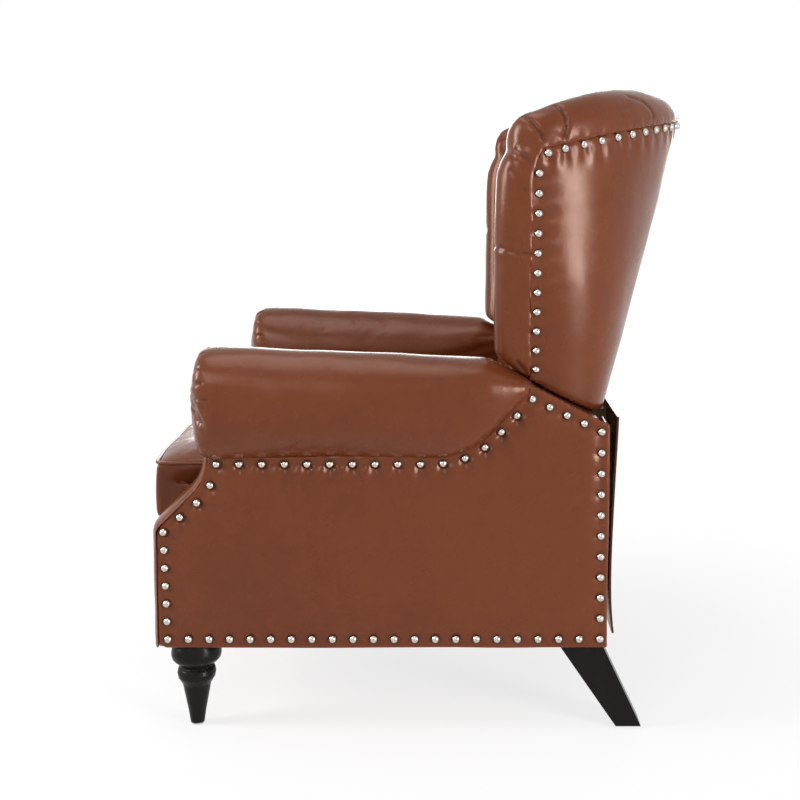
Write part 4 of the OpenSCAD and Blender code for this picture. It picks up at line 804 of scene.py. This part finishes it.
def makeWings():
    # both wings and the top roll are one upholstered piece
    look = wingLook
    left = copyNode("wingsAndRoll", "wing_pad_left")
    right = copyNode("wingRightPart", "wing_pad_right")
    roll = copyNode("topRollPart", "top_roll")
    for part in (left, right, roll):
        soften(part, look["edge"], look["levels"])
    points = readPoints(roll)
    points[readNormals(roll)[:, 2] < look["undersideFacing"]] -= (0, 0, look["sink"])
    writePoints(roll, points)
    pickOnly(left, right, roll)
    bpy.ops.object.join()
    remeshEven(left, look)
    soften(left, 0, 1)
    skin = Skin(left)
    for line, width, depth, overlap, reach in wingPleats:
        for mirror in (1, -1):
            flipped = [(mirror * x, y, z) for x, y, z in line]
            skin.crease(flipped, width, depth, mirror * overlap, reach, look["pleatTaper"],
                        look["pleatPaintedShade"])
    for nail in backNails:
        if inTopRow(nail):
            length, width, depth = look["topPull"]
            skin.pucker(nail + np.array(look["topStart"]), (0, 0, 1), length, width, depth * vary(0.6, 1.3))
        else:
            length, width, depth = look["sidePull"]
            heading = (look["sideLean"] * np.sign(nail[0]), -1, 0)
            skin.pucker(nail, heading, length, width, depth * vary(0.6, 1.4))
    skin.ripple(*look["ripple"])
    rimFrom, rimTo = look["rimRange"]
    rearRim = (skin.points[:, 1] > rimFrom) & (skin.points[:, 1] < rimTo)
    rearRim &= abs(skin.points[:, 0]) > look["rimOutside"]
    skin.lift += look["rim"] * np.clip(skin.normals[:, 1], 0, 1) * rearRim
    skin.write()
    return left


dressPad(makeWings(), "back", wingLook["fill"], "wing_pad_left", "wing_pad_right", "top_roll")
print("outside back, wings and top roll made")

tuftLook = {
    "levels": 3, "fill": 0.7,
    # the folds' grooves are darkened with painted shade
    "foldWidth": 0.0065, "foldDepth": 0.0075, "foldRaise": 0.0012, "foldReach": 0.020, "foldPaintedShade": 0.35,
    "rowGap": (0.07, 0.12), "foldAcross": 0.08,
    "tailDepth": 0.005, "tailDown": 0.12, "tailUp": 0.08,
    "pit": 0.004, "pitWidth": 0.016, "ripple": (0.06, 0.0016, 4.4),
}


def makeBackCushion():
    look = tuftLook
    cushion = copyNode("backCushion", "back_cushion")
    soften(cushion, 0, look["levels"])
    skin = Skin(cushion, (0, -1, 0), (1.0, 0.0, 1.0))
    buttons = solidCentres("back_buttons")
    rows = sorted({round(z, 2) for z in buttons[:, 2]})

    def fold(start, end, depth):
        skin.crease([start, end], look["foldWidth"], depth, look["foldRaise"], look["foldReach"], 0.0,
                    look["foldPaintedShade"])

    for i, one in enumerate(buttons):
        for two in buttons[i + 1:]:  # folds run between the buttons of neighbouring rows
            rise = abs(one[2] - two[2])
            if look["rowGap"][0] < rise < look["rowGap"][1] and abs(one[0] - two[0]) < look["foldAcross"]:
                fold(one, two, look["foldDepth"])
        skin.press(one, look["pitWidth"], look["pit"])
        if round(one[2], 2) == rows[0]:
            fold(one, one + np.array([0, 0, -look["tailDown"]]), look["tailDepth"])
        elif round(one[2], 2) == rows[-1]:
            fold(one, one + np.array([0, 0, look["tailUp"]]), look["tailDepth"])
    skin.ripple(*look["ripple"])
    skin.write()
    return cushion


dressPad(makeBackCushion(), "back", tuftLook["fill"], "back_cushion")

buttonLook = {"edge": 0.0008, "levels": 1, "fill": 0.9}


def makeBackButtons():
    backButtons = copyNode("backButtons", "back_buttons")
    soften(backButtons, buttonLook["edge"], buttonLook["levels"])
    return backButtons


dressPad(makeBackButtons(), "back", buttonLook["fill"], "back_buttons")
print("tufted cushion made")

# seat and footrest

seatLook = {
    "voxel": 0.0068, "relax": 4, "push": 0.0008, "pressure": 3.5, "cap": 0.010, "fill": 0.7,
    "seam": 0.4115, "seamHold": 0.008, "tackedBelow": 0.33, "side": 0.2345,
    # the front border turns back under the cushion's two sides, so that nothing shows behind it
    "turnBack": 0.050, "turnOutside": (0.213, 0.006), "turnBehind": (-0.412, 0.010),
    "turnBelow": (0.378, 0.006), "turnBefore": -0.385,
    # soft pulls from the front seam back across the seat
    "pullAcross": (-0.15, -0.02, 0.11), "pullStart": (-0.425, 0.425), "pullHeading": (0.12, 1, 0.08),
    "pullLength": 0.10, "pullWidth": 0.011, "pull": 0.0013,
    "ripple": (0.09, 0.0030, 6.1),
}


def makeSeatCushion():
    look = seatLook
    cushion = copyNode("seatCushion", "seat_cushion")
    remeshEven(cushion, look)
    swell(cushion, look,
          lambda p: (abs(p[:, 2] - look["seam"]) < look["seamHold"]) | (p[:, 2] < look["tackedBelow"]))
    soften(cushion, 0, 1)
    points = readPoints(cushion)
    points[:, 0] = np.clip(points[:, 0], -look["side"], look["side"])
    (outside, outsideFade), (behind, behindFade) = look["turnOutside"], look["turnBehind"]
    below, belowFade = look["turnBelow"]
    turned = np.clip((abs(points[:, 0]) - outside) / outsideFade, 0, 1)
    turned *= np.clip((points[:, 1] - behind) / behindFade, 0, 1)
    turned *= np.clip((below - points[:, 2]) / belowFade, 0, 1) * (points[:, 1] < look["turnBefore"])
    points[:, 1] += look["turnBack"] * turned
    writePoints(cushion, points)
    skin = Skin(cushion)
    skin.ripple(*look["ripple"])
    for across in look["pullAcross"]:
        skin.pucker((across, *look["pullStart"]), look["pullHeading"], look["pullLength"],
                    look["pullWidth"], look["pull"])
    skin.write()
    return cushion


seatCushion = makeSeatCushion()
dressPad(seatCushion, "seat", seatLook["fill"], "seat_cushion")

weltLook = {
    "radius": 0.0028, "band": 0.006, "proud": 0.0004,
    "frontHalf": 0.226, "frontSteps": 40, "rowHalf": 0.012,
    "inset": 0.0012, "corner": 0.010, "rearEnd": 0.09, "sideSteps": 30,
    "order": 4, "resolution": 3, "roundness": 3,
}


def makeWelt():
    # a piped seam round the front and sides of the cushion, laid on the cushion's own edge
    look, seam = weltLook, seatLook["seam"]
    points = readPoints(seatCushion)
    edge = points[abs(points[:, 2] - seam) < look["band"]]
    front = []
    for x in np.linspace(-look["frontHalf"], look["frontHalf"], look["frontSteps"]):
        row = edge[abs(edge[:, 0] - x) < look["rowHalf"]]
        front.append((x, row[:, 1].min() - look["proud"], seam))
    reach = seatLook["side"] - look["inset"]
    sideStart = front[-1][1] + look["corner"]
    side = [(reach, y, seam) for y in np.linspace(sideStart, look["rearEnd"], look["sideSteps"])]
    line = [(-x, y, z) for x, y, z in side][::-1] + front + side
    bpy.ops.curve.primitive_nurbs_path_add(location=(0, 0, 0))
    welt = bpy.context.object
    welt.name = "seatWelt"
    welt.data.splines.clear()
    spline = welt.data.splines.new("NURBS")
    spline.points.add(len(line) - 1)
    for point, place in zip(spline.points, line):
        point.co = (*place, 1)
    spline.use_endpoint_u, spline.order_u, spline.resolution_u = True, look["order"], look["resolution"]
    welt.data.bevel_depth, welt.data.bevel_resolution = look["radius"], look["roundness"]
    welt.data.use_fill_caps = True
    pickOnly(welt)
    bpy.ops.object.convert(target="MESH")
    return bpy.context.object


seatWelt = makeWelt()
shadeSmooth(seatWelt)
dress(seatWelt, leather, "seat", "brown_leather", "seat_welt")

footLook = {
    "voxel": 0.0055, "relax": 5, "push": 0.0006, "pressure": 3.0, "cap": 0.006, "fill": 0.7,
    "tackedBehind": -0.385, "border": 0.020, "seamWidth": 0.0030, "seamDepth": 0.0022, "seamReach": 0.01,
    # the border seam's groove is darkened with painted shade
    "seamPaintedShade": 0.6, "ripple": (0.06, 0.0016, 2.9),
}


def makeFootrestPad():
    look = footLook
    pad = copyNode("footrestPad", "footrest_pad")
    remeshEven(pad, look)
    swell(pad, look, lambda p: p[:, 1] > look["tackedBehind"])
    soften(pad, 0, 1)
    skin = Skin(pad, (0, -1, 0), (1.0, 0.0, 1.0))
    low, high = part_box("footrest_pad")
    x0, x1 = low[0] + look["border"], high[0] - look["border"]
    z0, z1 = low[2] + look["border"], high[2] - look["border"]
    border = [(x0, 0, z0), (x1, 0, z0), (x1, 0, z1), (x0, 0, z1), (x0, 0, z0)]
    skin.crease(border, look["seamWidth"], look["seamDepth"], 0.0, look["seamReach"], 0.0, look["seamPaintedShade"])
    skin.ripple(*look["ripple"])
    skin.write()
    return pad


dressPad(makeFootrestPad(), "footrest", footLook["fill"], "footrest_pad")

flapLook = {
    "edge": 0.0008, "levels": 3,
    "plumb": 0.017,  # the hem hangs this much nearer the base than the solid's
    "dark": 0.80, "lowHem": 0.012, "highHem": 0.010,
    # the hem lines' grooves are darkened with painted shade
    "hemWidth": 0.0016, "hemDepth": 0.0004, "hemReach": 0.01, "hemPaintedShade": 0.6,
}


def makeFlap():
    look = flapLook
    flap = copyNode("rearFlap", "rear_flap")
    soften(flap, look["edge"], look["levels"])
    low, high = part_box("rear_flap")
    points = readPoints(flap)
    points[:, 1] -= look["plumb"] * np.clip((high[2] - points[:, 2]) / (high[2] - low[2]), 0, 1)
    writePoints(flap, points)
    skin = Skin(flap, None, (0.0, 0.0, 1.0))
    # the whole flap is darkened to near black-brown, towards the seam colour
    skin.seam += look["dark"]
    for hem in (low[2] + look["lowHem"], high[2] - look["highHem"]):
        line = [(0, 0, hem), (0, 0, hem + 0.0001)]
        skin.crease(line, look["hemWidth"], look["hemDepth"], 0.0, look["hemReach"], 0.0,
                    look["hemPaintedShade"])
    skin.write()
    return flap


rearFlap = makeFlap()
shadeSmooth(rearFlap)
dress(rearFlap, leather, "rear_flap", "brown_leather", "rear_flap")
print("seat, footrest and flap made")

# floor, light and camera

studio = {
    "lamps": {  # place, size, power
        "lampTop": ((0.3, -0.4, 2.9), (1.5, 1.3), 17.0),
        "lampFront": ((0.7, -2.9, 1.5), (0.8, 1.8), 74.0),
        "lampRear": ((2.3, 2.6, 0.85), (0.9, 1.5), 84.0),
        "lampSide": ((2.9, -1.3, 2.6), (1.1, 1.1), 21.0),
        "lampFar": ((-2.7, 0.2, 1.2), (3.2, 1.0), 44.0),
    },
    "aim": (0, 0, 0.5),
    "world": 0.32,
    "floorSize": 40, "floorTone": colour(0.92, 0.92, 0.92), "floorRoughness": 0.8,
    "floorWhite": 0.76, "shadowReach": (0.60, 1.15),  # the floor is pure white past the shadow's reach
}


def makeFloor():
    bpy.ops.mesh.primitive_plane_add(size=studio["floorSize"], location=(0, 0, 0))
    floor = bpy.context.object
    floor.name = "studioFloor"
    look = Finish("studioFloor", Roughness=studio["floorRoughness"], Specular_IOR_Level=0.0,
                  Base_Color=studio["floorTone"])
    far = look.put("ShaderNodeVectorMath", {"operation": "LENGTH"}, out="Value", i0=look.place)
    fade = look.span(far, *studio["shadowReach"], (studio["floorWhite"], 1.0))
    glow = look.put("ShaderNodeEmission", Color=colour(1, 1, 1), Strength=1.0)
    mix = look.put("ShaderNodeMixShader", i0=look.seenStraight() * fade,
                   i1=Wire(look.tree, look.shader.outputs[0]), i2=glow)
    look.tree.links.new(mix.socket, look.tree.nodes["Material Output"].inputs["Surface"])
    floor.data.materials.append(look.material)


def makeWorld():
    world = bpy.data.worlds.new("studioWorld")
    scene.world = world
    world.use_nodes = True
    back = world.node_tree.nodes["Background"]
    back.inputs["Color"].default_value = colour(1, 1, 1)
    strength = NodeTree(world.node_tree).seenStraight() * (1 - studio["world"]) + studio["world"]
    world.node_tree.links.new(strength.socket, back.inputs["Strength"])


def addLamp(name, place, size, power):
    bpy.ops.object.light_add(type="AREA", location=place)
    lamp = bpy.context.object
    lamp.name = name
    lamp.data.shape = "RECTANGLE"
    lamp.data.size, lamp.data.size_y = size
    lamp.data.energy = power
    lamp.rotation_euler = (Vector(studio["aim"]) - Vector(place)).to_track_quat("-Z", "Y").to_euler()


cameraLook = {
    "place": (2.2605, 0.0545, 0.8801), "pitch": 5.0, "yaw": -0.0995,
    "sensor": 36, "lens": 57.4725, "shift": (-0.073, -0.1458),
}


def addCamera():
    look = cameraLook
    turn = (math.radians(90 - look["pitch"]), 0, math.radians(90 + look["yaw"]))
    bpy.ops.object.camera_add(location=look["place"], rotation=turn)
    camera = bpy.context.object
    camera.data.sensor_width = look["sensor"]
    camera.data.lens = look["lens"]
    camera.data.shift_x, camera.data.shift_y = look["shift"]
    scene.camera = camera


makeFloor()
makeWorld()
for lampName, lampLook in studio["lamps"].items():
    addLamp(lampName, *lampLook)
addCamera()
scene.view_settings.view_transform = "Standard"
print("studio made")
